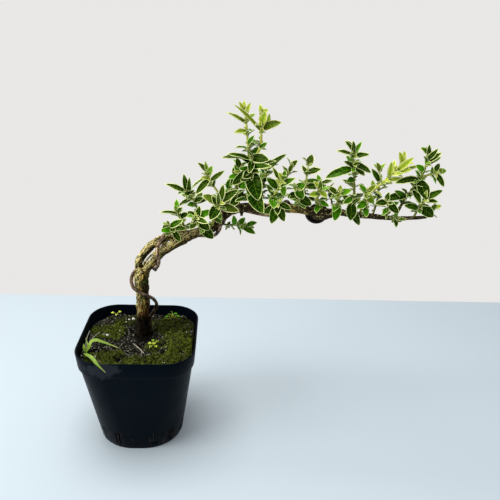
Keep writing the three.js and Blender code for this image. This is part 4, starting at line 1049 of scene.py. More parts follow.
@dataclass
class Soil:
    """Potting mix to about 9 mm below the rim, with moss cushions, crumbs, grit and perlite."""

    pot: Pot
    level: float = 88
    edge_level: float = 88.5
    bump: float = 1.7
    foot: tuple[float, float] = (1, 12)
    foot_hollow: float = 2.2
    foot_spread: float = 150
    rise: float = 2.2
    rise_at: tuple[float, float] = (30, -8)
    rise_spread: float = 420
    # Height and size, in mm, of the clods and of the grit between them.
    clod: tuple[float, float] = (2.6, 3.4)
    grit: tuple[float, float] = (1.2, 1.5)
    clearance: float = 0.3
    side_rings: int = 11
    rings: int = 96
    corner_steps: int = 30
    flat_steps: int = 12
    crumbs: int = 1500
    moss_tips: int = 15000
    small_perlite: int = 70
    crumb_seed: int = 71
    perlite_seed: int = 81
    moss_seed: int = 91
    # Place x and y of each larger white grain, and its half size.
    perlite: tuple[Point, ...] = (
        (-11.4, 35.6, 1.8), (-15, 33.5, 1.1), (-17.3, 29.4, 0.8), (-29.4, 3.6, 1.5),
        (-33.1, 7.1, 1.0), (-36, -2, 0.9), (-3, 24, 0.8), (24, -16, 0.8), (-20, 12, 0.7),
        (40, 12, 0.8), (-33, -30, 0.9), (10.2, -14.6, 0.8),
    )

    def ground(self, x: Array, y: Array) -> Array:
        """Height of the mix: low crossed sine waves, a rise at the right, a hollow at the trunk.

        Args:
            x: places in mm.
            y: places in mm.

        Returns:
            Heights in mm.
        """
        waves = np.sin(x * 0.21 + 1.3) * np.cos(y * 0.17 - 0.4) + 0.6 * np.sin(x * 0.39 - y * 0.31)
        apart = [(x - to_x) ** 2 + (y - to_y) ** 2 for to_x, to_y in (self.rise_at, self.foot)]
        rise = self.rise * np.exp(-apart[0] / self.rise_spread)
        hollow = self.foot_hollow * np.exp(-apart[1] / self.foot_spread)
        return self.level + self.bump * 0.7 * waves + rise - hollow

    @staticmethod
    def moss(x: Array, y: Array) -> tuple[Array, Array]:
        """Height of the moss in mm and its brightness.

        Each zone is a dome, 1 less the squared distance from its middle in half widths, broken up
        by noise; the tallest zone wins.

        Args:
            x: places in mm.
            y: places in mm.

        Returns:
            Height, zero where no moss grows, and brightness from 0 to 1.
        """
        spots = np.stack([x, y, np.zeros_like(x)], axis=-1)
        broken = 1.5 * rough(spots / 7.5, 3, 5)
        lumps = 0.55 + 0.9 * noise(spots / 4.2, 9)
        height, sun = np.zeros_like(x), np.zeros_like(x)
        for zone in MOSS:
            dome = 1 - ((x - zone.x) / zone.wide) ** 2 - ((y - zone.y) / zone.deep) ** 2 + broken
            tall = zone.tall * np.clip(dome, 0, 1) ** 0.6 * lumps
            sun = np.where(tall > height, zone.sun, sun)
            height = np.maximum(height, tall)
        return height, sun

    def reach(self) -> tuple[float, float]:
        """Half width and corner radius of the soil's top edge, inside the wall by the clearance.

        Returns:
            Both in mm.
        """
        half, corner = self.pot.body_at(self.edge_level)
        inset = self.pot.wall + self.clearance
        return half - inset - 0.3, corner - inset

    def inside(self, x: Array, y: Array, margin: float) -> Array:
        """Whether each place lies on the soil, at least margin mm in from its edge.

        Args:
            x: places in mm.
            y: places in mm.
            margin: distance in mm.

        Returns:
            One truth value for each place.
        """
        half, corner = self.reach()
        over_x = np.maximum(np.abs(x) - (half - corner), 0)
        over_y = np.maximum(np.abs(y) - (half - corner), 0)
        return np.hypot(over_x, over_y) < corner - margin

    def body(self) -> Skin:
        """Sides from the floor to the brim, then rings drawn in to the middle of the top.

        The top is raised by the ground, the moss and crumbs of noise that fade out at the wall.

        Returns:
            A closed skin with the values tone, moss and sun.
        """
        half, corner = self.reach()
        inset = self.pot.wall + self.clearance
        low_half, low_corner = self.pot.body_at(self.pot.floor)
        steps = (self.corner_steps, self.flat_steps)
        rings = []
        for t in np.linspace(0, 1, self.side_rings + 1)[:-1]:
            side = low_half - inset - 0.2 + (half - low_half + inset + 0.2) * t
            turn = low_corner - inset + (corner - low_corner + inset) * t
            z = self.pot.floor + self.clearance + (self.edge_level - 1.2 - self.pot.floor) * t
            rings.append(rounded_square(side, turn, z, *steps))
        brim = rounded_square(half, corner, 0.0, *steps)
        inwards = np.linspace(0, 1, self.rings + 1)[:-1]
        rings += [brim * shrink for shrink in 1 - inwards**1.15]
        points = np.vstack(rings)
        top = np.arange(len(points)) >= self.side_rings * len(brim)
        x, y = points[top, 0], points[top, 1]
        away = np.clip(np.repeat(inwards, len(brim)) * 12, 0.15, 1)
        spots = points[top]
        crumbs = self.clod[0] * rough(spots / self.clod[1], 4, 21)
        crumbs = crumbs + self.grit[0] * np.maximum(rough(spots / self.grit[1], 2, 33), 0)
        moss, sun = self.moss(x, y)
        points[top, 2] = self.ground(x, y) + away * (crumbs * (1 - 0.5 * np.clip(moss, 0, 1)) + moss * 0.75)
        values = {name: np.zeros(len(points)) for name in ("tone", "moss", "sun")}
        values["tone"][~top] = 0.55
        values["moss"][top] = np.clip(moss / 0.9, 0, 1)
        values["sun"][top] = sun
        return Skin(points, ring_faces(len(rings), len(brim)), values)

    def scattered(self, count: int, margin: float, seed: int) -> tuple[Array, Rng]:
        """Places on the soil, drawn evenly, and the generator that drew them.

        Args:
            count: how many are kept.
            margin: distance in mm from the soil's edge.
            seed: starts the generator.

        Returns:
            (count, 2) array and the generator.
        """
        rng = np.random.default_rng(seed)
        spots = (rng.random((count * 2, 2)) * 2 - 1) * self.reach()[0]
        spots = spots[self.inside(spots[:, 0], spots[:, 1], margin)]
        return spots[:count], rng

    def grains(self) -> Skin:
        """Crumbs of bark and mix, most of them small and dark, a few grey or white.

        Returns:
            A skin with the values tone, moss and sun.
        """
        spots, rng = self.scattered(self.crumbs, 1.5, self.crumb_seed)
        moss, _ = self.moss(spots[:, 0], spots[:, 1])
        spots = spots[(moss < 0.5) | (rng.random(len(spots)) < 0.18)]
        size = 0.28 + 0.85 * rng.random(len(spots)) ** 3
        z = self.ground(spots[:, 0], spots[:, 1]) + 0.25 + 0.5 * size
        halves = size[:, None] * (0.6 + 0.8 * rng.random((len(spots), 3)))
        skin = lump(np.column_stack([spots, z]), halves, self.crumb_seed + 1, 2, 5)
        skin.values["tone"] = skin.values["tone"] ** 2.0
        skin.values["moss"] = skin.values["sun"] = np.zeros(len(skin.points))
        return skin

    def white_grains(self) -> Skin:
        """Perlite: the larger grains as listed, with a pinch of small ones between them.

        Returns:
            A skin with the value tone.
        """
        spots, rng = self.scattered(self.small_perlite, 3, self.perlite_seed)
        small = np.column_stack([spots, 0.22 + 0.3 * rng.random(len(spots)) ** 2])
        grains = np.vstack([np.array(self.perlite), small])
        moss, _ = self.moss(grains[:, 0], grains[:, 1])
        z = self.ground(grains[:, 0], grains[:, 1]) + 0.8 * moss + 0.45 * grains[:, 2] + 0.2
        halves = grains[:, 2:3] * np.array([[1.1, 0.9, 0.7]])
        return lump(np.column_stack([grains[:, :2], z]), halves, self.perlite_seed + 1, 4, 8)

    def tips(self) -> Skin:
        """Moss shoots: three-sided spikes that lean out at random, thickest where moss is tall.

        Returns:
            A skin with the values tip (1 at the tip) and sun.
        """
        spots, rng = self.scattered(self.moss_tips, 0.8, self.moss_seed)
        moss, sun = self.moss(spots[:, 0], spots[:, 1])
        keep = moss > 0.25 + 0.5 * rng.random(len(spots))
        spots, moss, sun = spots[keep], moss[keep], sun[keep]
        count = len(spots)
        foot = np.column_stack([spots, self.ground(spots[:, 0], spots[:, 1]) + 0.75 * moss - 0.4])
        lean = rng.normal(0, 0.42, (count, 2))
        tall = (1.1 + 1.3 * rng.random(count)) * (0.75 + 0.3 * moss)
        tip = foot + np.column_stack([lean * tall[:, None], tall])
        turn = rng.random(count)[:, None] * 2 * np.pi + np.arange(3) * 2 * np.pi / 3
        girth = (0.16 + 0.14 * rng.random(count))[:, None, None]
        low = foot[:, None] + girth * np.stack([np.cos(turn), np.sin(turn), np.zeros_like(turn)], axis=-1)
        points = np.concatenate([low, tip[:, None]], axis=1).reshape(-1, 3)
        each = [(0, 1, 3), (1, 2, 3), (2, 0, 3), (2, 1, 0)]
        faces = [tuple(i + 4 * n for i in face) for n in range(count) for face in each]
        shade = 0.55 + 0.45 * rng.random(count)
        values = {"tip": np.outer(shade, [0.15, 0.15, 0.15, 1.0]).reshape(-1), "sun": np.repeat(sun, 4)}
        return Skin(points, faces, values)

    def build(self, mix: Material, white: Material, green: Material) -> None:
        """Settle the soil, its crumbs, the perlite and the moss.

        Args:
            mix: the potting mix's finish.
            white: the perlite's finish.
            green: the moss's finish.
        """
        settle_piece(make_piece("potting_soil", self.body(), mix), "potting_mix", "soil")
        settle_piece(make_piece("soil_crumbs", self.grains(), mix), "potting_mix")
        settle_piece(make_piece("perlite", self.white_grains(), white), "potting_mix")
        settle_piece(make_piece("moss", self.tips(), green, smooth=False), "leaf")


# ---------------------------------------------------------------- wood


@dataclass(frozen=True)
class Limb:
    """A length of wood: how many coarse and fine stations it gets, and knots of [x, y, z, radius]."""

    coarse: int
    fine: int
    knots: tuple[tuple[float, ...], ...]


LIMBS = {
    "trunk": Limb(15, 90, (
        (1, 12, 48, 5.7), (1, 12, 70, 5.8), (1, 12, 83, 6.3), (1, 12, 90, 6.1), (1, 12, 98, 5.6),
        (1.5, 12, 113, 5.5), (2, 11, 129, 5.5), (1.2, 10, 140, 5.8), (2, 10, 149, 5.9), (4, 9.5, 155, 4.9),
    )),
    "upper_strand": Limb(15, 70, (
        (1.2, 10.5, 147, 3.8), (-0.6, 11.5, 157.5, 3.4), (3.4, 12, 166, 3.4), (8.4, 12.5, 172.5, 3.5),
        (13.6, 12.5, 176.8, 3.7), (19.1, 12.3, 180.4, 3.7), (24.7, 12, 182.7, 3.5), (32, 11, 185.5, 3.2),
        (40, 9.5, 187.2, 3), (48, 8.5, 188.5, 3),
    )),
    "lower_strand": Limb(11, 60, (
        (3, 9.5, 147, 4), (8, 8, 156.5, 3.6), (12.5, 7.5, 161.8, 3.5), (18.6, 7, 169.6, 3.6),
        (25.1, 6.5, 175, 3.8), (32, 6.5, 180, 4), (39, 7.5, 183.5, 4.2),
    )),
    "branch": Limb(34, 200, (
        (36, 7.5, 181.5, 3.6), (42, 8, 185.5, 4.1), (49, 8, 188.5, 4), (58, 8, 191.5, 3.9),
        (66, 7, 197.5, 3.8), (72, 6, 206, 3.8), (80, 5, 211, 3.7), (93, 5, 213.5, 3.5), (109, 5, 213, 3.4),
        (125, 5, 213, 3.2), (141, 4, 211.6, 3.4), (149.5, 4, 209.8, 4.8), (156.5, 4, 209.8, 4.6),
        (163, 4, 211.8, 2.9), (171, 3, 211, 2.5), (190, 2, 209.5, 2.2), (213, 1, 208.5, 1.8),
        (227, 0, 209.5, 1.6), (238, 0, 210.5, 1.2),
    )),
    "rootlet": Limb(6, 30, (
        (3.3, 8.5, 157.5, 0.9), (6, 9.5, 161.7, 0.8), (12.9, 9.5, 169.2, 0.8), (19.5, 9.5, 175.2, 0.8),
        (26, 9.8, 182, 0.9),
    )),
    "stub": Limb(3, 12, ((86, 5, 212, 1.6), (85.6, 3.6, 208.5, 1.4), (85.3, 2.8, 206.3, 1.2))),
}


@dataclass
class Wood:
    """Trunk, its two strands, the branch, a rootlet and a cut stub, in one rough skin."""

    grid: float = 0.4
    sides: int = 20
    # Way towards the painted light: bark facing it is drawn paler, bark facing away darker.
    painted_sunlight: Point = (-0.76, -0.33, 0.56)
    # Each limb's bark pattern starts so far along from the last one's, and one limb is smooth.
    apart: float = 300
    smooth: str = "lower_strand"
    # Points that are worked on at a time, to spare memory.
    block: int = 8000
    # How wide and how long, in mm, the plates, the cells of the cross cracks, the fibres and the
    # knobs are.
    plate: tuple[float, float] = (1.5, 4.2)
    cross: tuple[float, float] = (2.4, 2.0)
    fibre: tuple[float, float] = (0.8, 3.0)
    knob: tuple[float, float] = (5.5, 9.0)
    crack: float = 0.055
    cross_crack: float = 0.04
    # The bark stands in or out of the limb by no more than this, in mm.
    low: float = -1.3
    high: float = 0.8

    @staticmethod
    def stations() -> list[Array]:
        """The coarse stations of each limb, which shoots and wire keep clear of."""
        return [sampled(limb.knots, limb.coarse) for limb in LIMBS.values()]

    @staticmethod
    def limbs() -> list[Array]:
        """Fine stations of each limb."""
        return [sampled(limb.knots, limb.fine) for limb in LIMBS.values()]

    def nearest(self, points: Array) -> tuple[Array, Array, Array]:
        """Where each point lies on the limb nearest to it.

        Args:
            points: (n, 3) array.

        Returns:
            Length along the limb, angle round it in radians, and the limb's radius, each (n,).
        """
        best = np.full(len(points), np.inf)
        length, round_it, girth = (np.zeros(len(points)) for _ in range(3))
        for number, limb in enumerate(self.limbs()):
            axis, first, second = transported(limb[:, :3])
            steps = np.linalg.norm(np.diff(limb[:, :3], axis=0), axis=1)
            travelled = np.concatenate([[0], np.cumsum(steps)])
            for start in range(0, len(points), self.block):
                block = slice(start, start + self.block)
                offset = points[block, None] - limb[None, :, :3]
                distance = np.linalg.norm(offset, axis=-1)
                i = np.argmin(distance - limb[:, 3], axis=1)
                rows = np.arange(len(i))
                gap = distance[rows, i] - limb[i, 3]
                out = offset[rows, i]
                angle = np.arctan2(np.sum(out * second[i], axis=1), np.sum(out * first[i], axis=1))
                slip = np.sum(out * axis[i], axis=1)
                won = gap < best[block]
                run = travelled[i] + slip + self.apart * number
                length[block] = np.where(won, run, length[block])
                round_it[block] = np.where(won, angle, round_it[block])
                girth[block] = np.where(won, limb[i, 3], girth[block])
                best[block] = np.where(won, gap, best[block])
        return length, round_it, girth

    def bark(self, points: Array) -> tuple[Array, dict[str, Array]]:
        """Bark relief: plates split by cracks along the grain, with knobs and fine fibres.

        The pattern lies on a cylinder (cos angle, sin angle, length) whose length is drawn out,
        so that plates run along the limb. Cracks are where one noise crosses its middle value.

        Args:
            points: (n, 3) array.

        Returns:
            Outward shift in mm, and the values relief (0 in a crack), plate (1 on a raised plate),
            branchward (1 on young wood) and limb (the place on that cylinder, in mm).
        """
        length, angle, girth = self.nearest(points)
        around = np.stack([np.cos(angle) * girth, np.sin(angle) * girth], axis=-1)
        plates, crosses, fibres, knobs = (
            np.column_stack([around / wide, length / tall])
            for wide, tall in (self.plate, self.cross, self.fibre, self.knob)
        )
        split = noise(plates, 3)
        crack = np.exp(-(((split - 0.5) / self.crack) ** 2))
        cross = np.exp(-(((noise(crosses, 11) - 0.5) / self.cross_crack) ** 2))
        crack = np.maximum(crack, 0.7 * cross)
        fibres, knobs = rough(fibres, 2, 19), rough(knobs, 2, 29)
        depth = np.clip((girth - 0.8) / 4.4, 0.05, 1)
        plate = np.clip((split - 0.5) * 4 + 0.5, 0, 1)
        start = self.apart * list(LIMBS).index(self.smooth)
        smooth = (length > start) & (length < start + self.apart)
        fine = (0.9 * fibres - 1.0 * crack + 0.5 * plate) * np.where(smooth, 0.5, 1)
        return np.clip(depth * (1.6 * knobs + fine), self.low, self.high), {
            "relief": np.clip(1 - crack + 0.35 * fibres + 0.2 * smooth, 0, 1), "plate": plate,
            "branchward": np.maximum(np.clip((points[:, 0] - 20) / 60, 0, 1), 0.36 * smooth),
            "limb": np.column_stack([around, length]),
        }

    def build(self, bark: Material) -> None:
        """Join the limbs into one skin, raise the bark on it and settle the wood.

        Args:
            bark: the wood's finish.
        """
        limbs = joined([tube(limb, self.sides) for limb in self.limbs()])
        wood = make_piece("trunk_and_branch", Skin(limbs.points, limbs.faces), bark)
        apply_modifier(wood, "REMESH", mode="VOXEL", voxel_size=self.grid * MM)
        mesh = wood.data
        points = read(mesh.vertices, "co") / MM
        normals = read(mesh.vertex_normals, "vector")
        shift, values = self.bark(points)
        # Painted light: how far each point of the bark faces the painted light's way, for the finish to
        # paint it paler.
        values["bleach"] = np.clip(0.5 + 0.5 * normals @ np.array(self.painted_sunlight), 0, 1)
        mesh.vertices.foreach_set("co", ((points + normals * shift[:, None]) * MM).reshape(-1))
        mesh.update()
        store(mesh, values)
        mesh.polygons.foreach_set("use_smooth", np.ones(len(mesh.polygons), bool))
        settle_piece(wood, "bark", "trunk")


# ---------------------------------------------------------------- training wire


@dataclass
class TrainingWire:
    """One wire: up behind and round the trunk, then along the branch, ending in a flat coil."""

    wood: Wood
    radius: float = 1.5
    gap: float = 0.3
    bark_depth: float = 0.75
    step: float = 5
    sides: int = 14
    sharp: float = 50
    climb: tuple[Point, ...] = (
        (6, 20, 60), (6, 20, 84), (6.6, 20, 100.7), (8.3, 20, 103.8), (10.3, 19, 107.5),
        (12.6, 17, 112.1), (13.4, 14, 117.8), (12.2, 10, 123.6), (9.7, 6, 128.4), (6.7, 3.2, 131.2),
        (2.6, 2.6, 133.7), (-1.3, 3.5, 136.5), (-4.2, 6, 139), (-5.7, 8.5, 142.1), (-5.9, 11, 145.2),
        (-4.8, 14, 148.1), (-1, 18.5, 151), (4, 20, 152.8), (9, 14.5, 153.5), (12, 9.5, 154.3),
        (14, 4.5, 156), (16.3, 1.3, 159.8), (18, -0.3, 164.6), (17.5, -0.6, 168.9), (16.8, 0.8, 172.8),
        (16.6, 3.2, 176), (17.4, 4.8, 179), (19.5, 5.6, 182.5), (22.6, 7.5, 186), (25, 12, 188.7),
        (28, 16.6, 188), (32, 17.4, 187), (36.5, 16, 186),
    )
    # Place along x, turn in degrees from the front over the top, and stand-off from the bark.
    wind: tuple[Point, ...] = (
        (43, 198, 0.3), (51, 226, 0.3), (59, 268, 0.2), (66, 328, 0.2), (72, 398, 0.3), (76, 440, 0.3),
        (80, 500, 0.3), (84, 560, 0.3), (93, 600, 0.3), (107, 640, 0.3), (112, 690, 0.3),
        (117, 745, 0.3), (122, 830, 0.3), (127, 890, 0.3), (131, 905, 0.5),
    )
    coil_centre: Point = (149, 10.8, 208.2)
    coil_outer: float = 9.2
    coil_inner: float = 4.4
    coil_turn: tuple[int, int] = (150, 800)

    @staticmethod
    def spine_at(x: float) -> Array:
        """The branch's centre and radius at x, straight between its knots.

        Args:
            x: place in mm.

        Returns:
            [x, y, z, radius] in mm.
        """
        knots = np.array(LIMBS["branch"].knots, float)
        i = max(int(np.argmax(knots[:, 0] > x)), 1)
        u = (x - knots[i - 1, 0]) / (knots[i, 0] - knots[i - 1, 0])
        return knots[i - 1] + (knots[i] - knots[i - 1]) * u

    def wind_point(self, x: float, angle: float, stand_off: float) -> Array:
        """Centre of the wire at a turn: out from the branch's middle by its radius and the wire's.

        Args:
            x: place along the branch in mm.
            angle: degrees from the front over the top.
            stand_off: extra distance from the bark in mm.

        Returns:
            (3,) point in mm.
        """
        centre = self.spine_at(x)
        axis = unit(self.spine_at(x + 2)[:3] - self.spine_at(x - 2)[:3])
        front = square_to(np.array([0, -1.0, 0]), axis)
        up = square_to(np.array([0, 0, 1.0]), axis)
        reach = centre[3] + self.radius + self.gap + stand_off
        turn = math.radians(angle)
        return centre[:3] + reach * (math.cos(turn) * front + math.sin(turn) * up)

    def knots(self) -> Array:
        """Climb, winding and coil in one list of points.

        Returns:
            (n, 3) array in mm.
        """
        points = [np.array(p, float) for p in self.climb]
        for low, high in zip(np.array(self.wind), np.array(self.wind[1:])):
            steps = math.ceil((high[1] - low[1]) / 45)
            points += [self.wind_point(*(low + (high - low) * k / steps)) for k in range(steps)]
        start, end = self.coil_turn
        for angle in range(start, end + 1, 30):
            reach = self.coil_outer + (self.coil_inner - self.coil_outer) * (angle - start) / (end - start)
            turn = math.radians(angle)
            way = np.array([math.cos(turn), 0, math.sin(turn)])
            points.append(np.array(self.coil_centre) + reach * way)
        return np.array(points)

    def off_the_bark(self, p: Array) -> Array:
        """Move a station out, away from each limb in turn, until it stands clear of the wood.

        Args:
            p: (3,) point in mm.

        Returns:
            The point where it stands in the end.
        """
        need = self.radius + self.gap + self.bark_depth
        for _ in range(6):
            for limb in self.wood.stations():
                gaps, feet = (found[0] for found in capsule_gaps(p[None], limb))
                i = int(np.argmin(gaps))
                if gaps[i] < need:
                    p = p + unit(p - feet[i]) * (need - gaps[i])
        return p

    def stations(self) -> Array:
        """Stations every few millimetres along the wire, each with its radius.

        Returns:
            (n, 4) array of [x, y, z, radius].
        """
        dense = sampled(self.knots(), 900)
        steps = np.linalg.norm(np.diff(dense, axis=0), axis=1)
        kept, travelled = [self.off_the_bark(dense[0])], 0.0
        for i in range(1, len(dense)):
            travelled += steps[i - 1]
            if travelled >= self.step or i == len(dense) - 1:
                kept.append(self.off_the_bark(dense[i]))
                travelled = 0.0
        return np.column_stack([np.array(kept), np.full(len(kept), self.radius)])

    def build(self, finish: Material) -> None:
        """Sweep a round section along a fine curve through the stations, with rounded cut ends.

        Args:
            finish: the wire's finish.
        """
        stations = self.stations()
        fine = sampled(stations, 6 * len(stations))
        fine[0, 3] = fine[-1, 3] = 0.8 * self.radius
        wire = make_piece("training_wire_round", tube(fine, self.sides), finish, sharp=self.sharp)
        settle_piece(wire, "wire", "training_wire")


# ---------------------------------------------------------------- leaves


@dataclass(frozen=True)
class Leaf:
    """A leaf stands at root, sets off along ahead with its upper side to up, and arches down."""

    root: Array
    ahead: Array
    up: Array
    bend: float
    width: float
    length: float
    place: float
    foot: float = 0.15
    neck: float = 0.32
    age: float = 0.0
    trim: float = 0.32
    thick: float = 0.19
    thinner: float = 0.06
    fold: float = 22
    ripple: float = 0.13
    ripples: float = 2.1

    def middle(self, t: Array) -> Array:
        """Midrib at t: a circular arc of the leaf's length that turns down by bend.

        Args:
            t: places from 0 at the root to 1 at the tip.

        Returns:
            (n, 3) array in mm.
        """
        arc = max(self.bend, 1e-6)
        forward = self.length * np.sin(arc * t) / arc + self.foot * (1 - t)
        down = self.length * (1 - np.cos(arc * t)) / arc
        return self.root + np.multiply.outer(forward, self.ahead) - np.multiply.outer(down, self.up)

    def half(self, t: Array, full: float = 0.92) -> Array:
        """Half width at t: half the width times sin(pi t^0.86) to the power full; less is blunter."""
        return 0.5 * self.width * np.maximum(np.sin(np.pi * np.minimum(t, 1) ** 0.86), 0) ** full

    def samples(self) -> tuple[Array, Array]:
        """Points over the blade that stand for it, and each one's t.

        Returns:
            (n, 3) array in mm, and each point's t.
        """
        side = np.cross(self.up, self.ahead)
        count = max(4, math.ceil(self.length / 2.4))
        t = 0.2 + 0.8 * np.arange(count) / (count - 1)
        centre, half = self.middle(t), self.half(t)
        wide = half > 1
        lift = np.multiply.outer(half * 0.4, self.up)
        edge = np.multiply.outer(half, side)
        points = [centre, (centre + lift + edge)[wide], (centre + lift - edge)[wide]]
        return np.vstack(points), np.concatenate([t, t[wide], t[wide]])

    def blade(self, rng: Rng, age: float) -> Skin:
        """Closed thin blade: centre + c half side, folded up to its edges, waved along its margin.

        Args:
            rng: draws the leaf's own tone, wave and margin width.
            age: 0 for an old leaf, 1 for a young one.

        Returns:
            A skin with the values that the leaf's finish reads.
        """
        t = np.array([0, 0.05, 0.12, 0.22, 0.34, 0.47, 0.6, 0.73, 0.85, 0.94, 1.0])
        if self.length < 6:
            t = t[[0, 2, 3, 4, 6, 8, 9, 10]]
        out = np.abs(ACROSS)
        half = np.maximum(self.half(t, 0.7), np.where(t < 0.5, self.neck, 0.04))
        turn = self.bend * t
        face = np.multiply.outer(np.cos(turn), self.up) + np.multiply.outer(np.sin(turn), self.ahead)
        wave = self.ripple * np.sin(2 * np.pi * (self.ripples * t + rng.random()))[:, None]
        wave = wave * ACROSS**2 * np.sign(ACROSS + 0.01) * np.minimum(t / 0.3, 1)[:, None]
        fold = math.tan(math.radians(self.fold)) * out * (1.08 - 0.3 * ACROSS**2)
        fold = fold[None] * np.minimum(t / 0.12, 1)[:, None]
        lift = half[:, None] * (fold + wave) + (self.thick - self.thinner * out) * UPPER
        tone = rng.random() * np.interp(self.length, (9, 16), (1.0, 0.45))
        trim = (self.trim + 0.34 * rng.random() ** 2) * np.interp(self.length, (4, 12), (0.55, 1.0))
        values = {
            "across": out, "half": half[:, None], "place": t[:, None], "age": age, "tone": tone,
            "trim": trim, "under": UPPER < 0, "stem": 0,
        }
        return ribbon(self.middle(t), np.cross(self.up, self.ahead), face, half, lift, values)


@dataclass(frozen=True)
class Stem:
    """A stem: its path and girth, its pairs of leaves, and leaves marked one by one.

    Each marked leaf: place on the stem, x, y and z of its tip, width, and how far it faces the
    front, in degrees from the sky.
    """

    path: list[Point]
    girth: tuple[float, float]
    pairs: int
    start: float
    leaf: tuple[float, float]
    marked: list[tuple[float, ...]]

    def stations(self, count: int) -> Array:
        """Evenly placed stations whose radius goes straight from the first girth to the second."""
        girth = self.girth[0] + (self.girth[1] - self.girth[0]) * (np.arange(count) / (count - 1))
        return np.column_stack([sampled(self.path, count), girth])

    def skin(self, fresh: float) -> Skin:
        """Round stem with a slight swelling at each node, rounded off at its tip.

        Args:
            fresh: how young the growth is.

        Returns:
            A skin with the values that the leaf's finish reads.
        """
        count = 6 * len(self.path)
        stations = self.stations(count)
        t = np.arange(count) / (count - 1)
        stations[:, 3] *= 1.02 * (1 + 0.2 * np.cos(t * count * 0.9) ** 6)
        stations[-1, 3] *= 0.5
        skin = tube(stations, 8)
        blank = np.zeros(len(skin.points))
        skin.values |= {name: blank for name in ("across", "half", "tone", "trim", "under")}
        skin.values |= {"age": blank + fresh, "stem": blank + 1}
        return skin

    def bud(self, fresh: float, rng: Rng) -> list[Leaf]:
        """The closed tuft at the tip: four small leaves round its axis.

        Args:
            fresh: how young the growth is.
            rng: draws the leaves' turns and lengths.

        Returns:
            The leaves.
        """
        tip, axis = along(self.path, 1.0), tangent_at(self.path, 1.0)
        one = square_to(np.array([0.6, 0.8, 0.1]), axis)
        two = np.cross(axis, one)
        tuft = []
        for k in range(4):
            turn = math.pi / 2 * k + rng.random()
            out = one * math.cos(turn) + two * math.sin(turn)
            ahead = unit(axis + out * (0.2 + 0.3 * (k % 2)))
            length = 3.2 + 2.2 * rng.random()
            up, age = square_to(-out, ahead), fresh + 0.3
            tuft.append(Leaf(tip, ahead, up, 0.3, 0.36 * length, length, 1, neck=0.2, age=age))
        return tuft


@dataclass(frozen=True)
class Shoot:
    """One spray of the foliage: its node's name, seed, stems and how yellow its tips are."""

    name: str
    seed: int
    stems: list[Stem]
    fresh: float = 0.3

    def freshness(self, number: int) -> float:
        """How young a stem's growth is: a forked shoot's first stem is old, the rest as fresh as it."""
        return 0.15 if number == 0 and len(self.stems) > 1 else self.fresh


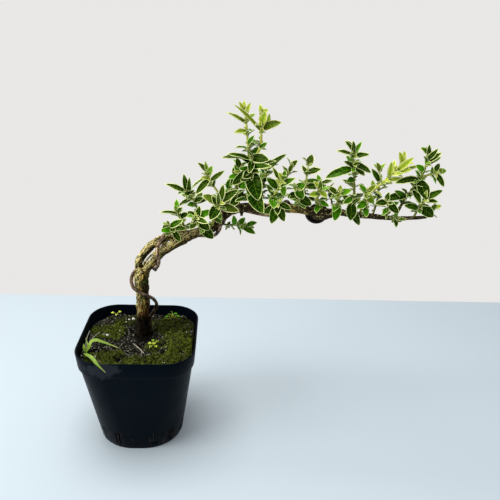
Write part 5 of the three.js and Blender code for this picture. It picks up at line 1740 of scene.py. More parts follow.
SHOOTS = [
    Shoot("spray_fork_tuft", 3, [
        Stem([(32, 9, 185), (30, 3, 192), (27, -2, 198)], (0.9, 0.6), 3, 0.45, (8, 8), [
            (0.8, 21, -5, 194, 7.2, 60), (1, 25, -4, 203, 3.3, 30), (0.75, 42, 0, 195, 4.4, 55),
            (0.5, 36, -1, 184, 5.5, 60), (0.9, 39, -6, 205, 5.5, 60),
        ]),
    ]),
    Shoot("spray_west_low", 108, [
        Stem([(40, 12, 184), (37, 11, 197), (33, 8, 207)], (1, 0.6), 4, 0.3, (9, 8), [
            (0.85, 19, 4, 207, 5.0, 20), (1, 31, 8, 213, 3.9, 60), (0.7, 43, 6, 206, 5.5, 50),
            (0.95, 38, 4, 213, 4.4, 60),
        ]),
    ]),
    Shoot("spray_west_mid", 115, [
        Stem([(51, 13, 188), (48, 14, 211), (41, 12, 222)], (1, 0.6), 4, 0.3, (10, 8), [
            (0.95, 23, 8, 230, 6.1, 35), (1, 38, 12, 238, 5.0, 60), (0.92, 43, 9, 237, 3.9, 70),
            (0.7, 34, 8, 211, 5.0, 25), (0.5, 41, 6, 213, 5.5, 50), (0.6, 55, 8, 219, 5.5, 50),
            (0.55, 61, 10, 220, 4.4, 60),
        ]),
    ], 0.5),
    Shoot("spray_west_high", 122, [
        Stem([(65, 10, 197), (69, 12, 216), (60, 14, 231), (57, 14, 239)],
             (1.1, 0.6), 4, 0.35, (10, 7), [
            (1, 49, 13, 247, 4.4, 40), (0.96, 55, 15, 249, 3.3, 60), (0.92, 61, 11, 246, 5.0, 70),
            (0.7, 71, 10, 242, 4.4, 70), (0.75, 48, 8, 222, 6.1, 50), (0.85, 43, 14, 223, 3.9, 20),
        ]),
    ], 0.75),
    Shoot("spray_west_front", 129, [
        Stem([(54, 4, 193), (51, -5, 201), (49, -9, 208)], (0.9, 0.6), 4, 0.4, (8, 8), [
            (0.3, 63, -2, 188, 8.2, 60), (0.9, 52, -8, 218, 5.5, 60), (1, 62, -10, 214, 6.1, 60),
            (0.96, 42, -11, 212, 5.5, 50), (0.85, 60, -9, 198, 7.7, 65), (0.8, 44, -8, 198, 5.0, 70),
            (0.94, 59, -11, 207, 5.0, 60),
        ]),
    ], 0.4),
    Shoot("spray_rosette", 136, [
        Stem([(62, 6, 195), (63, -3, 208), (68, -9, 222)], (1, 0.6), 4, 0.4, (9, 9), [
            (1, 70, -8, 236, 5.5, 75), (0.96, 82, -8, 232, 6.6, 55), (0.9, 60, -13, 208, 8.8, 65),
            (0.86, 83, -11, 215, 7.2, 60), (0.92, 54, -7, 226, 7.2, 50), (0.88, 66, -12, 232, 3.9, 60),
            (0.84, 61, -11, 227, 5.0, 60),
        ]),
    ], 0.7),
    Shoot("spray_under_twig", 143, [
        Stem([(69, 10, 196), (78, 12, 195), (90, 12, 194)], (0.8, 0.5), 3, 0.35, (8, 8), [
            (0.6, 79, 8, 205, 5.0, 40), (1, 99, 8, 199, 5.5, 40), (0.85, 98, 8, 189, 5.5, 60),
        ]),
    ]),
    Shoot("spray_leader", 150, [
        Stem([(93, 6, 214), (91, 5, 236), (92, 5, 254)], (1.5, 1.1), 5, 0.12, (12, 11), [
            (0.72, 98, -7, 223, 13.2, 88), (0.35, 102, -9, 213, 12.1, 85), (0.98, 68, 2, 254, 6.1, 25),
            (1, 105, -5, 255, 8.8, 60), (0.95, 72, -4, 258, 5.5, 30), (0.88, 83, -5, 255, 6.6, 40),
            (0.84, 111, -2, 254, 3.9, 55), (0.8, 107, -5, 251, 5.5, 60), (0.92, 90, -5, 245, 5.5, 65),
            (0.55, 83, -6, 238, 5.5, 50), (0.76, 77, 2, 231, 7.7, 80), (0.68, 85, -3, 240, 7.2, 75),
            (0.45, 90, -6, 226, 6.1, 80),
        ]),
        Stem([(92, 5, 249), (89, 6, 262), (87, 5, 277), (85, 4, 290)], (1.1, 0.7), 4, 0.3, (9, 8), [
            (0.75, 71, 2, 289, 4.4, 35), (0.62, 77, 0, 274, 5.0, 40), (1, 80, 3, 297, 3.9, 50),
            (0.96, 84, 5, 298, 3.3, 60), (0.92, 89, 2, 297, 3.9, 60), (0.4, 93, 0, 273, 3.9, 60),
        ]),
        Stem([(92, 5, 252), (98, 3, 263), (98, 1, 278), (98, 0, 289)], (1.2, 0.7), 3, 0.35, (9, 8), [
            (0.6, 76, -3, 296, 4.0, 40), (0.65, 113, -3, 284, 7.2, 50), (1, 102, -2, 293, 5.0, 60),
            (0.96, 96, 0, 296, 3.9, 60), (0.8, 100, -5, 292, 6.6, 60), (0.3, 103, -1, 268, 4.4, 60),
        ]),
    ], 0.9),
    Shoot("spray_centre_left", 157, [
        Stem([(84, 8, 211), (82, 14, 225), (83, 16, 243)], (1, 0.6), 6, 0.2, (11, 9), [
            (1, 80, 14, 252, 5.0, 60), (0.8, 74, 10, 236, 5.5, 50), (0.5, 72, 8, 221, 6.6, 60),
            (0.9, 76, 11, 228, 6.1, 55), (0.3, 75, 5, 215, 7.2, 70), (0.35, 92, 11, 218, 6.6, 60),
            (0.72, 78, 12, 242, 6.1, 60), (0.6, 92, 13, 229, 6.6, 60), (0.2, 90, 3, 214, 5.5, 70),
        ]),
    ]),
    Shoot("spray_back_west", 164, [
        Stem([(78, 9, 208), (76, 18, 215), (74, 22, 224)], (0.9, 0.6), 4, 0.3, (9, 8), [
            (0.6, 67, 15, 213, 6.6, 60), (0.7, 84, 21, 217, 6.6, 60), (0.95, 76, 22, 232, 6.1, 60),
        ]),
    ]),
    Shoot("spray_back_centre", 171, [
        Stem([(99, 9, 212), (102, 18, 224), (105, 22, 239)], (1, 0.6), 6, 0.25, (11, 10), [
            (1, 121, 18, 255, 6.6, 30),
        ]),
    ]),
    Shoot("spray_bud_front", 178, [
        Stem([(107, 4, 214), (110, -4, 226), (116, -9, 241)], (1, 0.6), 5, 0.3, (9, 8), [
            (1, 112, -10, 247, 3.9, 60), (0.96, 118, -7, 248, 3.9, 70), (0.45, 110, -12, 219, 8.2, 80),
            (0.8, 126, -10, 243, 5.5, 50), (0.75, 103, -9, 242, 6.6, 60), (0.9, 108, -6, 249, 3.9, 60),
            (0.93, 118, -13, 228, 5.5, 75),
        ]),
    ], 0.6),
    Shoot("spray_slim", 185, [
        Stem([(115, 8, 213), (119, 15, 227), (125, 18, 244)], (0.9, 0.6), 5, 0.25, (9, 8), [
            (1, 130, 16, 251, 4.4, 50), (0.9, 126, 17, 249, 3.9, 60),
        ]),
    ], 0.5),
    Shoot("spray_hang_mid", 192, [
        Stem([(110, 2, 213), (112, -5, 218), (113, -9, 222)], (0.8, 0.6), 2, 0.6, (9, 9), [
            (0.8, 109, -10, 205, 8.2, 80), (0.9, 119, -10, 208, 7.2, 80),
            (0.6, 103, -13, 212, 6.6, 75), (1, 124, -12, 218, 5.5, 60), (0.96, 104, -12, 223, 5.5, 60),
        ]),
    ]),
    Shoot("spray_front_low", 9, [
        Stem([(132, 2, 214), (129, -8, 226), (126, -13, 236)], (0.9, 0.6), 4, 0.35, (9, 8), [
            (0.95, 133, -15, 240, 6.6, 60), (0.7, 120, -13, 228, 6.1, 65),
            (0.6, 140, -9, 221, 7.7, 70), (0.98, 132, -18, 228, 7.7, 70),
        ]),
    ]),
    Shoot("spray_upright", 206, [
        Stem([(128, 5, 214), (135, 4, 229), (137, 4, 250)], (1, 0.6), 5, 0.2, (10, 8), [
            (1, 139, 3, 259, 6.1, 60), (0.85, 147, 0, 248, 6.1, 50), (0.6, 147, 0, 233, 5.5, 60),
            (0.7, 147, 4, 238, 3.9, 60), (0.5, 126, 0, 234, 5.5, 50),
        ]),
    ], 0.5),
    Shoot("spray_knob", 41, [
        Stem([(152, 4, 211), (146, -2, 221), (146, -6, 232)], (0.9, 0.6), 4, 0.35, (8, 8), [
            (1, 152, -10, 228, 5.0, 70), (0.9, 138, -6, 228, 5.5, 60), (0.6, 155, -5, 219, 4.4, 60),
            (0.96, 146, -6, 241, 3.9, 60),
        ]),
    ], 0.6),
    Shoot("spray_mid_back", 220, [
        Stem([(161, 4, 212), (158, 14, 225), (151, 18, 231)], (0.8, 0.5), 4, 0.3, (8, 7), [
            (1, 160, 14, 235, 4.4, 40),
        ]),
    ]),
    Shoot("spray_bud_mid", 227, [
        Stem([(163, 2, 213), (162, -4, 222), (161, -8, 231)], (0.8, 0.6), 4, 0.35, (8, 8), [
            (1, 162, -8, 238, 3.9, 60), (0.4, 160, -8, 208, 7.7, 75), (0.96, 171, -8, 234, 5.5, 55),
            (0.92, 151, -8, 236, 5.0, 55),
        ]),
    ], 0.6),
    Shoot("spray_hang_right", 234, [
        Stem([(174, 2, 212), (172, -6, 221), (172, -9, 228)], (0.8, 0.6), 2, 0.5, (9, 8), [
            (0.7, 172, -12, 210, 8.8, 80), (0.3, 182, -3, 203, 6.6, 70), (1, 163, -14, 225, 5.5, 65),
        ]),
    ]),
    Shoot("spray_tall_mid", 5, [
        Stem([(179, 4, 211), (176, 5, 233), (174, 6, 250), (172, 6, 262)],
             (1.1, 0.6), 6, 0.15, (11, 8), [
            (0.62, 151, 2, 240, 8.2, 40), (1, 164, 5, 270, 3.9, 50), (0.96, 170, 7, 271, 3.9, 60),
            (0.92, 178, 5, 270, 3.9, 50), (0.89, 158, 4, 262, 5.0, 35), (0.86, 185, 4, 260, 5.0, 45),
            (0.7, 187, 0, 246, 6.6, 40), (0.66, 183, -2, 243, 5.5, 60), (0.45, 168, 0, 238, 5.5, 60),
        ]),
    ], 0.45),
    Shoot("spray_cluster", 248, [
        Stem([(186, 2, 210), (184, -6, 222), (183, -10, 233)], (0.9, 0.6), 4, 0.3, (9, 8), [
            (1, 189, -11, 240, 4.4, 60), (0.96, 175, -11, 240, 4.4, 60), (0.6, 175, -12, 221, 6.1, 65),
            (0.85, 189, -12, 225, 6.1, 70),
        ]),
    ], 0.45),
    Shoot("spray_back_right", 255, [
        Stem([(194, 4, 209), (199, 13, 223), (199, 17, 243)], (0.9, 0.6), 5, 0.25, (9, 7), [
            (1, 195, 16, 251, 4.4, 60), (0.8, 191, 15, 246, 5.0, 60),
        ]),
    ], 0.5),
    Shoot("spray_yellow", 262, [
        Stem([(183, 4, 210), (187, 6, 224), (197, 4, 236), (212, 0, 253)],
             (1.1, 0.7), 5, 0.35, (9, 8), [
            (1, 207, 0, 264, 5.5, 60), (0.96, 213, 2, 264, 5.0, 60), (0.92, 216, -2, 262, 5.5, 60),
            (0.88, 218, -4, 251, 6.1, 50), (0.84, 229, 2, 253, 3.9, 30), (0.8, 202, 0, 256, 5.5, 60),
            (0.75, 215, 1, 242, 3.9, 60),
        ]),
    ], 1.0),
    Shoot("spray_tall_right", 269, [
        Stem([(213, 1, 213), (217, 1, 223), (224, 0, 237), (229, -1, 249), (230, -1, 263)],
             (1.3, 0.7), 7, 0.2, (10, 7), [
            (1, 223, -1, 268, 4.4, 50), (0.96, 229, 0, 271, 3.9, 60), (0.92, 235, -2, 269, 4.4, 60),
            (0.88, 240, -3, 265, 5.0, 50), (0.85, 241, -4, 261, 4.4, 40),
            (0.62, 206, -3, 239, 6.6, 40), (0.6, 232, -8, 228, 9.9, 85), (0.35, 199, -4, 225, 7.7, 40),
            (0.5, 198, -6, 237, 5.5, 50), (0.3, 207, -5, 233, 5.5, 60), (0.75, 221, -2, 254, 5.5, 60),
            (0.45, 228, -9, 224, 5.5, 70),
        ]),
        Stem([(227, -1, 244), (233, -5, 248), (238, -7, 250)], (0.9, 0.6), 2, 0.5, (8, 7), [
            (1, 244, -8, 252, 5.0, 50), (0.8, 244, -9, 239, 5.5, 60), (0.7, 240, -4, 256, 4.4, 50),
        ]),
    ], 0.5),
    Shoot("spray_arch_left", 276, [
        Stem([(205, 2, 209), (203, -6, 219), (200, -9, 225)], (0.8, 0.5), 3, 0.5, (8, 7), [
            (1, 189, -12, 225, 6.1, 50), (0.9, 210, -12, 217, 6.6, 60),
        ]),
    ]),
    Shoot("spray_low_right", 283, [
        Stem([(227, 0, 210), (229, -5, 221), (231, -8, 228)], (0.9, 0.6), 4, 0.35, (8, 7), [
            (0.5, 240, -9, 214, 9.4, 70), (1, 244, -8, 236, 5.5, 45), (0.9, 241, -11, 227, 4.4, 45),
            (0.4, 215, -7, 222, 6.1, 55),
        ]),
    ], 0.4),
    Shoot("spray_end_tuft", 12, [
        Stem([(236, 1, 210), (241, 4, 213), (245, 6, 216)], (0.8, 0.5), 3, 0.5, (7, 6), [
            (1, 251, 5, 219, 4.4, 40),
        ]),
    ], 0.5),
    Shoot("spray_drip", 21, [
        Stem([(210, 2, 208), (210, -3, 210), (211, -7, 211)], (0.7, 0.5), 2, 0.65, (7, 6), [
            (0.9, 215, -8, 209, 5.5, 50),
        ]),
    ]),
]


@dataclass
class Foliage:
    """All the sprays. Each marked and paired leaf keeps clear of the wood, the wire and the leaves set
    before it.
    """

    solids: list[Array]
    droop: float = 24
    turn: float = 21
    lift: float = 9
    # A pair's lean from its stem in degrees: at the first pair, less by the last one, and its draw.
    pair_lean: float = 64
    pair_close: float = 34
    pair_sway: float = 18
    clear_leaf: float = 1.7
    clear_own: float = 1.5
    clear_stem: float = 1.0
    clear_wood: float = 1.2
    # The share of leaves whose axil bud has broken into two small leaves.
    axils: float = 0.8
    # Mean number of small leaves on each piece of stem between two knots.
    short: float = 3.6
    sharp: float = 52
    # How far to the back a marked leaf's tip is tried, in mm.
    depths: tuple[float, ...] = (0, -2.5, 2.5, -5, 5, -7.5, 7.5, -10, 10)
    # How many turns aside and lifts off its place a paired leaf is tried at.
    tries: tuple[tuple[int, int], ...] = (
        (0, 0), (1, 0), (-1, 0), (0, 1), (0, -1), (1, 1), (-1, 1), (1, -1), (-1, -1), (2, 0), (-2, 0),
        (0, 2), (0, -2),
    )

    def __post_init__(self) -> None:
        """Start with bare stems."""
        self.leaves: dict[str, list[Leaf]] = {shoot.name: [] for shoot in SHOOTS}
        self.stems = {s.name: [stem.stations(2 * len(stem.path) - 1) for stem in s.stems] for s in SHOOTS}
        self.marks: list[tuple[str, Leaf, Array, Array]] = []

    def stands_clear(self, leaf: Leaf, owner: str) -> bool:
        """Whether a leaf keeps its distance from wood, wire, other stems and every leaf so far.

        Args:
            leaf: the leaf.
            owner: the name of its shoot, whose own leaves may come nearer.

        Returns:
            True where it touches nothing.
        """
        points, t = leaf.samples()
        outer = points[t > 0.3]
        if any(np.any(capsule_gaps(outer, solid)[0] < self.clear_wood) for solid in self.solids):
            return False
        for name, other, marks, mark_t in self.marks:
            own = name == owner
            limit = self.clear_own if own else self.clear_leaf
            if np.linalg.norm(other.root - leaf.root) > other.length + leaf.length + limit:
                continue
            distance = np.linalg.norm(points[:, None] - marks[None], axis=-1)
            if own:
                distance = np.where((t[:, None] < 0.35) | (mark_t[None] < 0.35), np.inf, distance)
            if distance.min() < limit:
                return False
        others = (stem for name, stems in self.stems.items() if name != owner for stem in stems)
        return not any(np.any(capsule_gaps(points, stem)[0] < self.clear_stem) for stem in others)

    def settle(self, owner: str, variants: list[Leaf]) -> None:
        """Keep the first variant that stands clear; a leaf with no clear place is left out.

        Args:
            owner: the name of the shoot.
            variants: the same leaf at each place that may do, the best one first.
        """
        for leaf in variants:
            if self.stands_clear(leaf, owner):
                self.leaves[owner].append(leaf)
                self.marks.append((owner, leaf, *leaf.samples()))
                return

    def leaf_to_tip(
        self, root: Array, tip: Array, width: float, face: float, place: float, fresh: float,
    ) -> Leaf:
        """A leaf whose chord runs from root to tip, its two ends turned down by half the droop each.

        Args:
            root: (3,) point on the stem.
            tip: (3,) point.
            width: the leaf's width.
            face: turns its upper side from the sky (0) to the front (90).
            place: its place on the stem, 0 to 1.
            fresh: how young the growth is.

        Returns:
            The leaf.
        """
        reach = float(np.linalg.norm(tip - root))
        chord = (tip - root) / reach
        light = np.array([0, -math.sin(math.radians(face)), math.cos(math.radians(face))])
        upper = square_to(light, chord)
        bend = math.radians(self.droop)
        ahead = chord * math.cos(bend / 2) + upper * math.sin(bend / 2)
        up = upper * math.cos(bend / 2) - chord * math.sin(bend / 2)
        length = reach * bend / 2 / math.sin(bend / 2)
        return Leaf(root, ahead, up, bend, width, length, place, age=fresh)

    @staticmethod
    def leaf_on_stem(
        root: Array, axis: Array, turn: float, lean: float, size: Point, place: float, fresh: float,
    ) -> Leaf:
        """A leaf that leaves the stem at an angle round it and a lean from it.

        Args:
            root: (3,) point on the stem.
            axis: the stem's direction there.
            turn: angle round the stem in radians.
            lean: angle from the stem in radians.
            size: length, width and bend.
            place: its place on the stem, 0 to 1.
            fresh: how young the growth is.

        Returns:
            The leaf.
        """
        guide = np.array([1.0, 0, 0]) if abs(axis[1]) > 0.9 else np.array([0, 1.0, 0])
        one = square_to(guide, axis)
        out = one * math.cos(turn) + np.cross(axis, one) * math.sin(turn)
        ahead = axis * math.cos(lean) + out * math.sin(lean)
        light = axis * 0.75 + np.array([0, -0.25, 0.65])
        length, width, bend = size
        return Leaf(root, ahead, square_to(light, ahead), bend, width, length, place, age=fresh)

    def set_marked(self, shoot: Shoot) -> None:
        """Set the shoot's marked leaves, nearer or further where the first place is taken.

        Args:
            shoot: the shoot.
        """
        for number, stem in enumerate(shoot.stems):
            fresh = shoot.freshness(number)
            for place, x, y, z, width, face in stem.marked:
                root = along(stem.path, place)
                self.settle(shoot.name, [
                    self.leaf_to_tip(root, np.array([x, y + depth, z], float), width, face, place, fresh)
                    for depth in self.depths
                ])

    def set_pairs(self, shoot: Shoot) -> None:
        """Set opposite leaves in pairs, each pair a quarter turn on from the one below it.

        Each leaf draws its turn, lean, length, width and bend, in this order.

        Args:
            shoot: the shoot.
        """
        draw = Draw(shoot.seed)
        for number, stem in enumerate(shoot.stems):
            fresh = shoot.freshness(number)
            first = draw.next() * math.pi
            for pair in range(stem.pairs):
                u = pair / (stem.pairs - 1) if stem.pairs > 1 else 1
                place = stem.start + (1 - stem.start) * u
                root, axis = along(stem.path, place), tangent_at(stem.path, place)
                for half in range(2):
                    turn = first + math.pi * (pair * 0.5 + half) + (draw.next() - 0.5) * 0.6
                    lean = self.pair_lean - self.pair_close * u + (draw.next() - 0.5) * self.pair_sway
                    mean = stem.leaf[0] + (stem.leaf[1] - stem.leaf[0]) * u
                    length = mean * (0.98 + 0.34 * draw.next())
                    width = length * (0.45 + 0.1 * draw.next())
                    bend = math.radians(self.droop * (0.6 + 0.9 * draw.next()))
                    self.settle(shoot.name, [
                        self.leaf_on_stem(
                            root, axis, turn + math.radians(self.turn) * aside,
                            math.radians(lean) + math.radians(self.lift) * aloft,
                            (length, width, bend), place, fresh,
                        )
                        for aside, aloft in self.tries
                    ])

    def axil_leaves(self, leaf: Leaf, rng: Rng) -> list[Leaf]:
        """The small leaves of the bud in a leaf's axil: they stand up between stem and leaf.

        Args:
            leaf: the leaf that carries the bud.
            rng: draws whether the bud has broken, and its leaves' sizes.

        Returns:
            No leaves, or two that lean to either side.
        """
        if leaf.length < 5 or rng.random() > self.axils:
            return []
        side = np.cross(leaf.up, leaf.ahead)
        young = []
        for lean in (-1, 1):
            way = leaf.ahead * (0.35 + 0.4 * rng.random()) + leaf.up * 0.75
            ahead = unit(way + side * lean * (0.35 + 0.35 * rng.random()))
            length = leaf.length * (0.3 + 0.24 * rng.random())
            place, age = min(leaf.place + 0.1, 1), leaf.age + 0.15
            up = square_to(leaf.up, ahead)
            young.append(Leaf(leaf.root, ahead, up, 0.5, 0.42 * length, length, place, neck=0.2, age=age))
        return young

    def short_leaves(self, stem: Stem, rng: Rng) -> list[Leaf]:
        """Small old leaves that stand straight on the stem, between its pairs.

        Args:
            stem: the stem they grow from.
            rng: draws how many there are, and their places, turns and sizes.

        Returns:
            The leaves.
        """
        found = []
        for _ in range(rng.poisson(self.short * (len(stem.path) - 1))):
            place = 0.1 + 0.75 * rng.random() ** 1.4
            axis = tangent_at(stem.path, place)
            length = (0.4 + 0.35 * rng.random()) * (stem.leaf[0] + stem.leaf[1]) / 2
            size = (length, 0.46 * length, 0.5)
            lean = math.radians(45 + 35 * rng.random())
            root = along(stem.path, place)
            found.append(self.leaf_on_stem(root, axis, 2 * math.pi * rng.random(), lean, size, place, 0.15))
        return found

    def spray(self, shoot: Shoot) -> Skin:
        """The shoot's stems and leaves in one skin; leaves near the tip are the youngest.

        Args:
            shoot: the shoot.

        Returns:
            A skin with the values that the leaf's finish reads.
        """
        rng = np.random.default_rng(shoot.seed + 1000)
        skins = [stem.skin(shoot.freshness(k)) for k, stem in enumerate(shoot.stems)]
        leaves = list(self.leaves[shoot.name])
        for leaf in self.leaves[shoot.name]:
            leaves += self.axil_leaves(leaf, rng)
        for number, stem in enumerate(shoot.stems):
            leaves += stem.bud(shoot.freshness(number), rng)
            leaves += self.short_leaves(stem, rng)
        for leaf in leaves:
            tipward = np.clip((leaf.place - 0.3) / 0.6, 0, 1)
            small = np.interp(leaf.length, (6, 12), (1.3, 0.45 + 0.5 * (leaf.age > 0.8)))
            age = leaf.age * small * (0.25 + 0.75 * tipward) * (0.6 + 0.7 * rng.random())
            skins.append(leaf.blade(rng, min(float(age) + 0.12 * rng.random() ** 3, 1.0)))
        return joined(skins)

    def build(self, blade: Material) -> None:
        """Place every leaf by the rule, then make and settle each spray.

        Args:
            blade: the leaves' finish.
        """
        for shoot in SHOOTS:
            self.set_marked(shoot)
        for shoot in SHOOTS:
            self.set_pairs(shoot)
        for shoot in SHOOTS:
            name = shoot.name.replace("spray", "leaves")
            piece = make_piece(name, self.spray(shoot), blade, sharp=self.sharp)
            settle_piece(piece, "leaf", shoot.name)
        LOG.info("leaves: %d", sum(len(leaves) for leaves in self.leaves.values()))


# ---------------------------------------------------------------- weeds and twig


def strap(path: list[Point], width: float, thickness: float) -> Skin:
    """Grass blade: a ribbon folded along its middle, as wide as sin(pi (0.18 + 0.8 t)).

    Args:
        path: knots of its middle line.
        width: widest width.
        thickness: thickness in the middle.

    Returns:
        A closed skin with the values across and place.
    """
    t = np.linspace(0, 1, 26)
    centre = along(path, t)
    axis = unit(np.gradient(centre, axis=0))
    side = unit(np.cross(np.array([0, 0, 1.0]), axis))
    half = 0.5 * width * np.maximum(0.24, np.sin(np.pi * np.minimum(0.18 + 0.8 * t, 1)))
    half[-1] = 0.12
    out = np.abs(ACROSS)
    lift = half[:, None] * 0.34 * out + 0.5 * thickness * (1 - 0.45 * out) * UPPER
    values = {"across": -ACROSS, "place": t[:, None]}
    return ribbon(centre, side, unit(np.cross(axis, side)), half, lift, values)


@dataclass
class GrassWeed:
    """Tuft of grass by the front left wall: four blades, one over the rim, and thin dry stalks."""

    blades: tuple[tuple[list[Point], float], ...] = (
        ([(-43, -21, 88.5), (-40.4, -20, 92), (-36.4, -18, 98.4), (-29, -18, 97.2), (-15.2, -19, 92.4)], 5),
        ([(-43, -21, 88), (-44.2, -20, 92.5), (-44.8, -17.5, 95.5)], 2.4),
        ([(-43, -21, 88.5), (-40, -30, 92.6), (-32.5, -42, 97.4), (-26.5, -52, 98.6), (-19.5, -55, 93)],
         3.4),
        ([(-43.3, -21, 88), (-41.8, -17, 92.4), (-44.6, -11, 97)], 1.6),
    )
    stalks: tuple[list[Point], ...] = (
        [(-43, -20, 88), (-44.5, -10, 94), (-44, 2, 96.5)],
        [(-42, -20, 88), (-42, -8, 92), (-36, 6, 93)],
    )
    root: tuple[tuple[float, ...], ...] = ((-43, -21, 73, 1.3), (-43, -21, 84, 1.3), (-43, -21, 90, 1.15))
    thickness: float = 0.5
    sharp: float = 55

    def build(self, green: Material, dry: Material) -> None:
        """Settle the green blades with their root, and the dry stalks.

        Args:
            green: the blades' finish.
            dry: the stalks' finish.
        """
        root = tube(sampled(self.root, 10), 12)
        root.values = {"across": root.values["around"] * 0, "place": root.values["place"] * 0.3}
        straps = [strap(path, width, self.thickness) for path, width in self.blades]
        piece = make_piece("grass_blades", joined([root, *straps]), green, sharp=self.sharp)
        settle_piece(piece, "grass", "grass_weed")
        girth = np.linspace(0.4, 0.2, 14)
        stalks = [tube(np.column_stack([sampled(path, len(girth)), girth]), 6) for path in self.stalks]
        settle_piece(make_piece("grass_stalks", joined(stalks), dry), "dry_twig")


@dataclass(frozen=True)
class Weed:
    """A small plant: its foot, how young it is, and its leaflets round the foot.

    Each leaflet: x and y from the foot, height over the soil, heading in degrees, length, width.
    """

    name: str
    seed: int
    foot: tuple[float, float]
    age: float
    leaflets: tuple[tuple[float, ...], ...]


WEEDS = [
    Weed("clover", 5, (13.5, -12.2), 0.75, (
        (-1.7, -0.3, 3.2, 200, 3.4, 2.8), (0.9, 0.3, 4.0, 20, 3.8, 2.9), (-0.9, 2.0, 3.6, 100, 3.4, 2.7),
        (1.7, 2.3, 2.6, 60, 3.2, 2.5), (-1.9, -2.3, 2.2, 250, 3.0, 2.5), (1.2, -2.5, 2.4, 300, 3.4, 2.5),
        (0, -1.1, 4.6, 280, 3.2, 2.7),
    )),
    Weed("seedling", 6, (25.3, 37.5), 0.05, (
        (-1.3, 0.9, 5.4, 190, 3.8, 2.0), (0.7, 0.9, 5.8, 10, 4.0, 2.0), (-0.3, 2.0, 6.4, 120, 3.4, 1.9),
        (-3.8, 0, 3.8, 215, 3.6, 2.0), (3.2, 0.3, 4.2, 340, 3.8, 1.9), (-5.8, -2.0, 2.6, 230, 3.2, 1.8),
        (5.2, -2.0, 3.0, 300, 3.4, 1.8),
    )),
    Weed("sprout", 7, (-28.2, 41.5), 1.0, (
        (-1.9, 0.3, 2.2, 200, 3.0, 2.5), (1.8, 0.8, 2.6, 20, 3.0, 2.5), (0.2, -1.3, 1.8, 280, 2.6, 2.2),
    )),
]


@dataclass
class SmallWeeds:
    """Clover by the trunk, a seedling at the back right and a sprout at the back left."""

    soil: Soil

    def plant(self, weed: Weed) -> Skin:
        """Leaflets on thin curved stalks from one foot, with the values that the leaf's finish reads.

        Args:
            weed: the weed.

        Returns:
            A skin with the values that the leaf's finish reads.
        """
        rng = np.random.default_rng(weed.seed)
        x, y = weed.foot
        low = np.array([x, y, float(self.soil.ground(np.array(x), np.array(y))) - 1])
        skins = []
        for over_x, over_y, height, heading, length, width in weed.leaflets:
            turn = math.radians(heading)
            head = low + [over_x, over_y, height + 1]
            middle = (low + head) / 2 + [0, 0, 0.8]
            stalk = Stem([tuple(low), tuple(middle), tuple(head)], (0.34, 0.26), 0, 0, (0, 0), [])
            skins.append(stalk.skin(0.5))
            ahead = unit(np.array([math.cos(turn), math.sin(turn), 0.35]))
            up = square_to(np.array([0, -0.2, 1.0]), ahead)
            leaf = Leaf(head, ahead, up, 0.6, width, length, 1, 0.2, 0.25, trim=-0.9)
            skins.append(leaf.blade(rng, weed.age * (0.6 + 0.4 * rng.random())))
        return joined(skins)

    def build(self, blade: Material) -> None:
        """Settle the weeds."""
        for weed in WEEDS:
            settle_piece(make_piece(weed.name, self.plant(weed), blade), "leaf")


@dataclass
class FallenTwig:
    """A thin pale twig that lies on the soil, with a bent tip."""

    soil: Soil
    path: tuple[Point, ...] = ((-5.4, -7.1, 0), (0.8, -14.6, 0.3), (6.2, -22.3, 0))
    radius: float = 0.6
    lift: float = 0.8
    steps: int = 40

    def build(self, finish: Material) -> None:
        """Sweep a ring along the path, thinner to its ends, and settle it.

        Args:
            finish: the twig's finish.
        """
        knots = np.array(self.path, float)
        rest = self.soil.ground(knots[:, 0], knots[:, 1]).max() + self.radius + self.lift
        line = sampled(knots, self.steps)
        swell = 0.42 + 0.25 * np.sin(np.pi * np.linspace(0, 1, self.steps))
        girth = self.radius * swell * (1 + 0.5 * rough(line / 2.5, 2, 7))
        skin = tube(np.column_stack([line + [0, 0, rest], girth]), 10)
        settle_piece(make_piece("fallen_stick", skin, finish), "dry_twig", "fallen_twig")


# ---------------------------------------------------------------- studio


class Box(Enum):
    """Soft boxes: place and target in mm, size in mm, power in watts and colour."""

    KEY = ((-130, 10, 890), (60, 10, 60), 520, 4.5, (1.0, 0.985, 0.965))
    SIDE = ((-940, -430, 600), (40, 0, 130), 700, 7.0, (1.0, 0.99, 0.97))


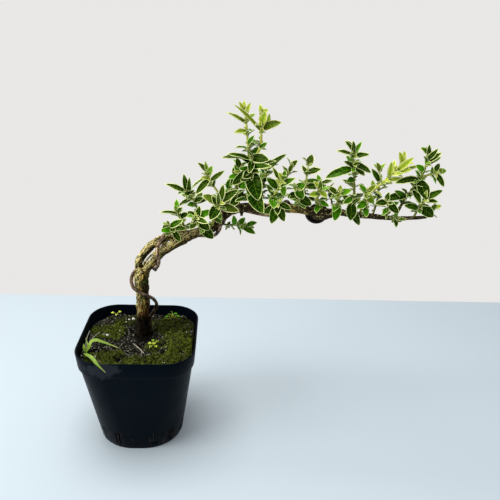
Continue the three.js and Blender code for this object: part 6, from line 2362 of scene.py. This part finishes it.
@dataclass
class Studio:
    """Pale table with an edge behind the pot, a paler backdrop, soft boxes and the camera."""

    eye: Point = (67.47, -421.4, 355.28)
    yaw: float = 3.54
    pitch: float = 22.83
    roll: float = 2.64
    lens: float = 39.6
    sensor: float = 36
    table_edge: float = 250
    table_reach: float = 3000
    table_tone: Colour = (0.595, 0.685, 0.745)
    near_tone: Colour = (0.44, 0.45, 0.46)
    back_tone: Colour = (0.815, 0.805, 0.79)
    # The direction's y at which the backdrop has its full tone.
    back_from: float = 0.55

    def world(self) -> bpy.types.World:
        """Near-white backdrop to the back, drawn by the direction's y, and softer light all round.

        Returns:
            The world.
        """
        world = bpy.data.worlds.new("studio")
        world.use_nodes = True
        nodes, links = world.node_tree.nodes, world.node_tree.links
        kinds = ("TexCoord", "SeparateXYZ", "MapRange", "Mix")
        way, apart, turn, tone = (nodes.new("ShaderNode" + kind) for kind in kinds)
        tone.data_type = "RGBA"
        turn.inputs["From Max"].default_value = self.back_from
        tone.inputs[6].default_value = (*self.near_tone, 1)
        tone.inputs[7].default_value = (*self.back_tone, 1)
        links.new(way.outputs["Generated"], apart.inputs[0])
        links.new(apart.outputs[1], turn.inputs["Value"])
        links.new(turn.outputs["Result"], tone.inputs[0])
        links.new(tone.outputs[2], nodes["Background"].inputs["Color"])
        return world

    def floor(self) -> None:
        """Lay one flat pale sheet under the pot, as stage."""
        low, edge, far = -self.table_reach, self.table_edge, self.table_reach
        points = np.array([[low, low, 0], [far, low, 0], [far, edge, 0], [low, edge, 0]])
        pale = Graph("studio_floor").finish(
            Base_Color=(*self.table_tone, 1), Roughness=0.6, Specular_IOR_Level=0.2,
        )
        make_piece("studio_floor", Skin(points, [(0, 1, 2, 3)]), pale, smooth=False)

    @staticmethod
    def hang(name: str, data: bpy.types.ID, place: Point, turn: Matrix) -> bpy.types.Object:
        """Put a light or the camera into the scene.

        Args:
            name: the object's name.
            data: the light or camera.
            place: where it hangs, in mm.
            turn: 4 x 4 rotation.

        Returns:
            The new object.
        """
        holder = bpy.data.objects.new(name, data)
        holder.matrix_world = Matrix.Translation(Vector(place) * MM) @ turn
        bpy.context.collection.objects.link(holder)
        return holder

    def soft_box(self, box: Box) -> None:
        """Add one area light that faces its target.

        Args:
            box: its numbers.
        """
        place, target, size, power, colour = box.value
        light = bpy.data.lights.new(box.name.lower(), "AREA")
        light.shape, light.size, light.energy, light.color = "SQUARE", size * MM, power, colour
        way = Vector(target) - Vector(place)
        self.hang(light.name, light, place, way.to_track_quat("-Z", "Y").to_matrix().to_4x4())

    def camera(self) -> None:
        """Stand the camera at eye and turn it by yaw, pitch and roll."""
        yaw, pitch, roll = (math.radians(a) for a in (self.yaw, self.pitch, self.roll))
        level = math.cos(pitch)
        forward = np.array([math.sin(yaw) * level, math.cos(yaw) * level, -math.sin(pitch)])
        right = np.array([math.cos(yaw), -math.sin(yaw), 0])
        up = np.cross(right, forward)
        across = math.cos(roll) * right + math.sin(roll) * up
        over = -math.sin(roll) * right + math.cos(roll) * up
        turn = Matrix(np.column_stack([across, over, -forward]).tolist()).to_4x4()
        data = bpy.data.cameras.new("camera")
        data.lens, data.sensor_width = self.lens, self.sensor
        bpy.context.scene.camera = self.hang("camera", data, self.eye, turn)

    def build(self) -> None:
        """Set the world, floor, lights and camera."""
        scene = bpy.context.scene
        scene.view_settings.view_transform = "Standard"
        scene.world = self.world()
        self.floor()
        for box in Box:
            self.soft_box(box)
        self.camera()


# ---------------------------------------------------------------- the whole


def main() -> None:
    """Build every sub-assembly in order, logging each piece's faces and the number of leaves."""
    logging.basicConfig(level=logging.INFO, format="%(message)s")
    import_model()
    Studio().build()
    pot, wood = Pot(), Wood()
    soil = Soil(pot)
    wire = TrainingWire(wood)
    blade = LeafBlade().material()
    dry = DryTwig().material()
    pot.build(PotPlastic().material())
    soil.build(PottingMix().material(), Perlite().material(), MossGreen().material())
    wood.build(Bark().material())
    wire.build(WireAnodised().material())
    GrassWeed().build(GrassBlade().material(), dry)
    FallenTwig(soil).build(dry)
    Foliage([*wood.stations(), wire.stations()]).build(blade)
    SmallWeeds(soil).build(blade)


if __name__ == "__main__":
    main()
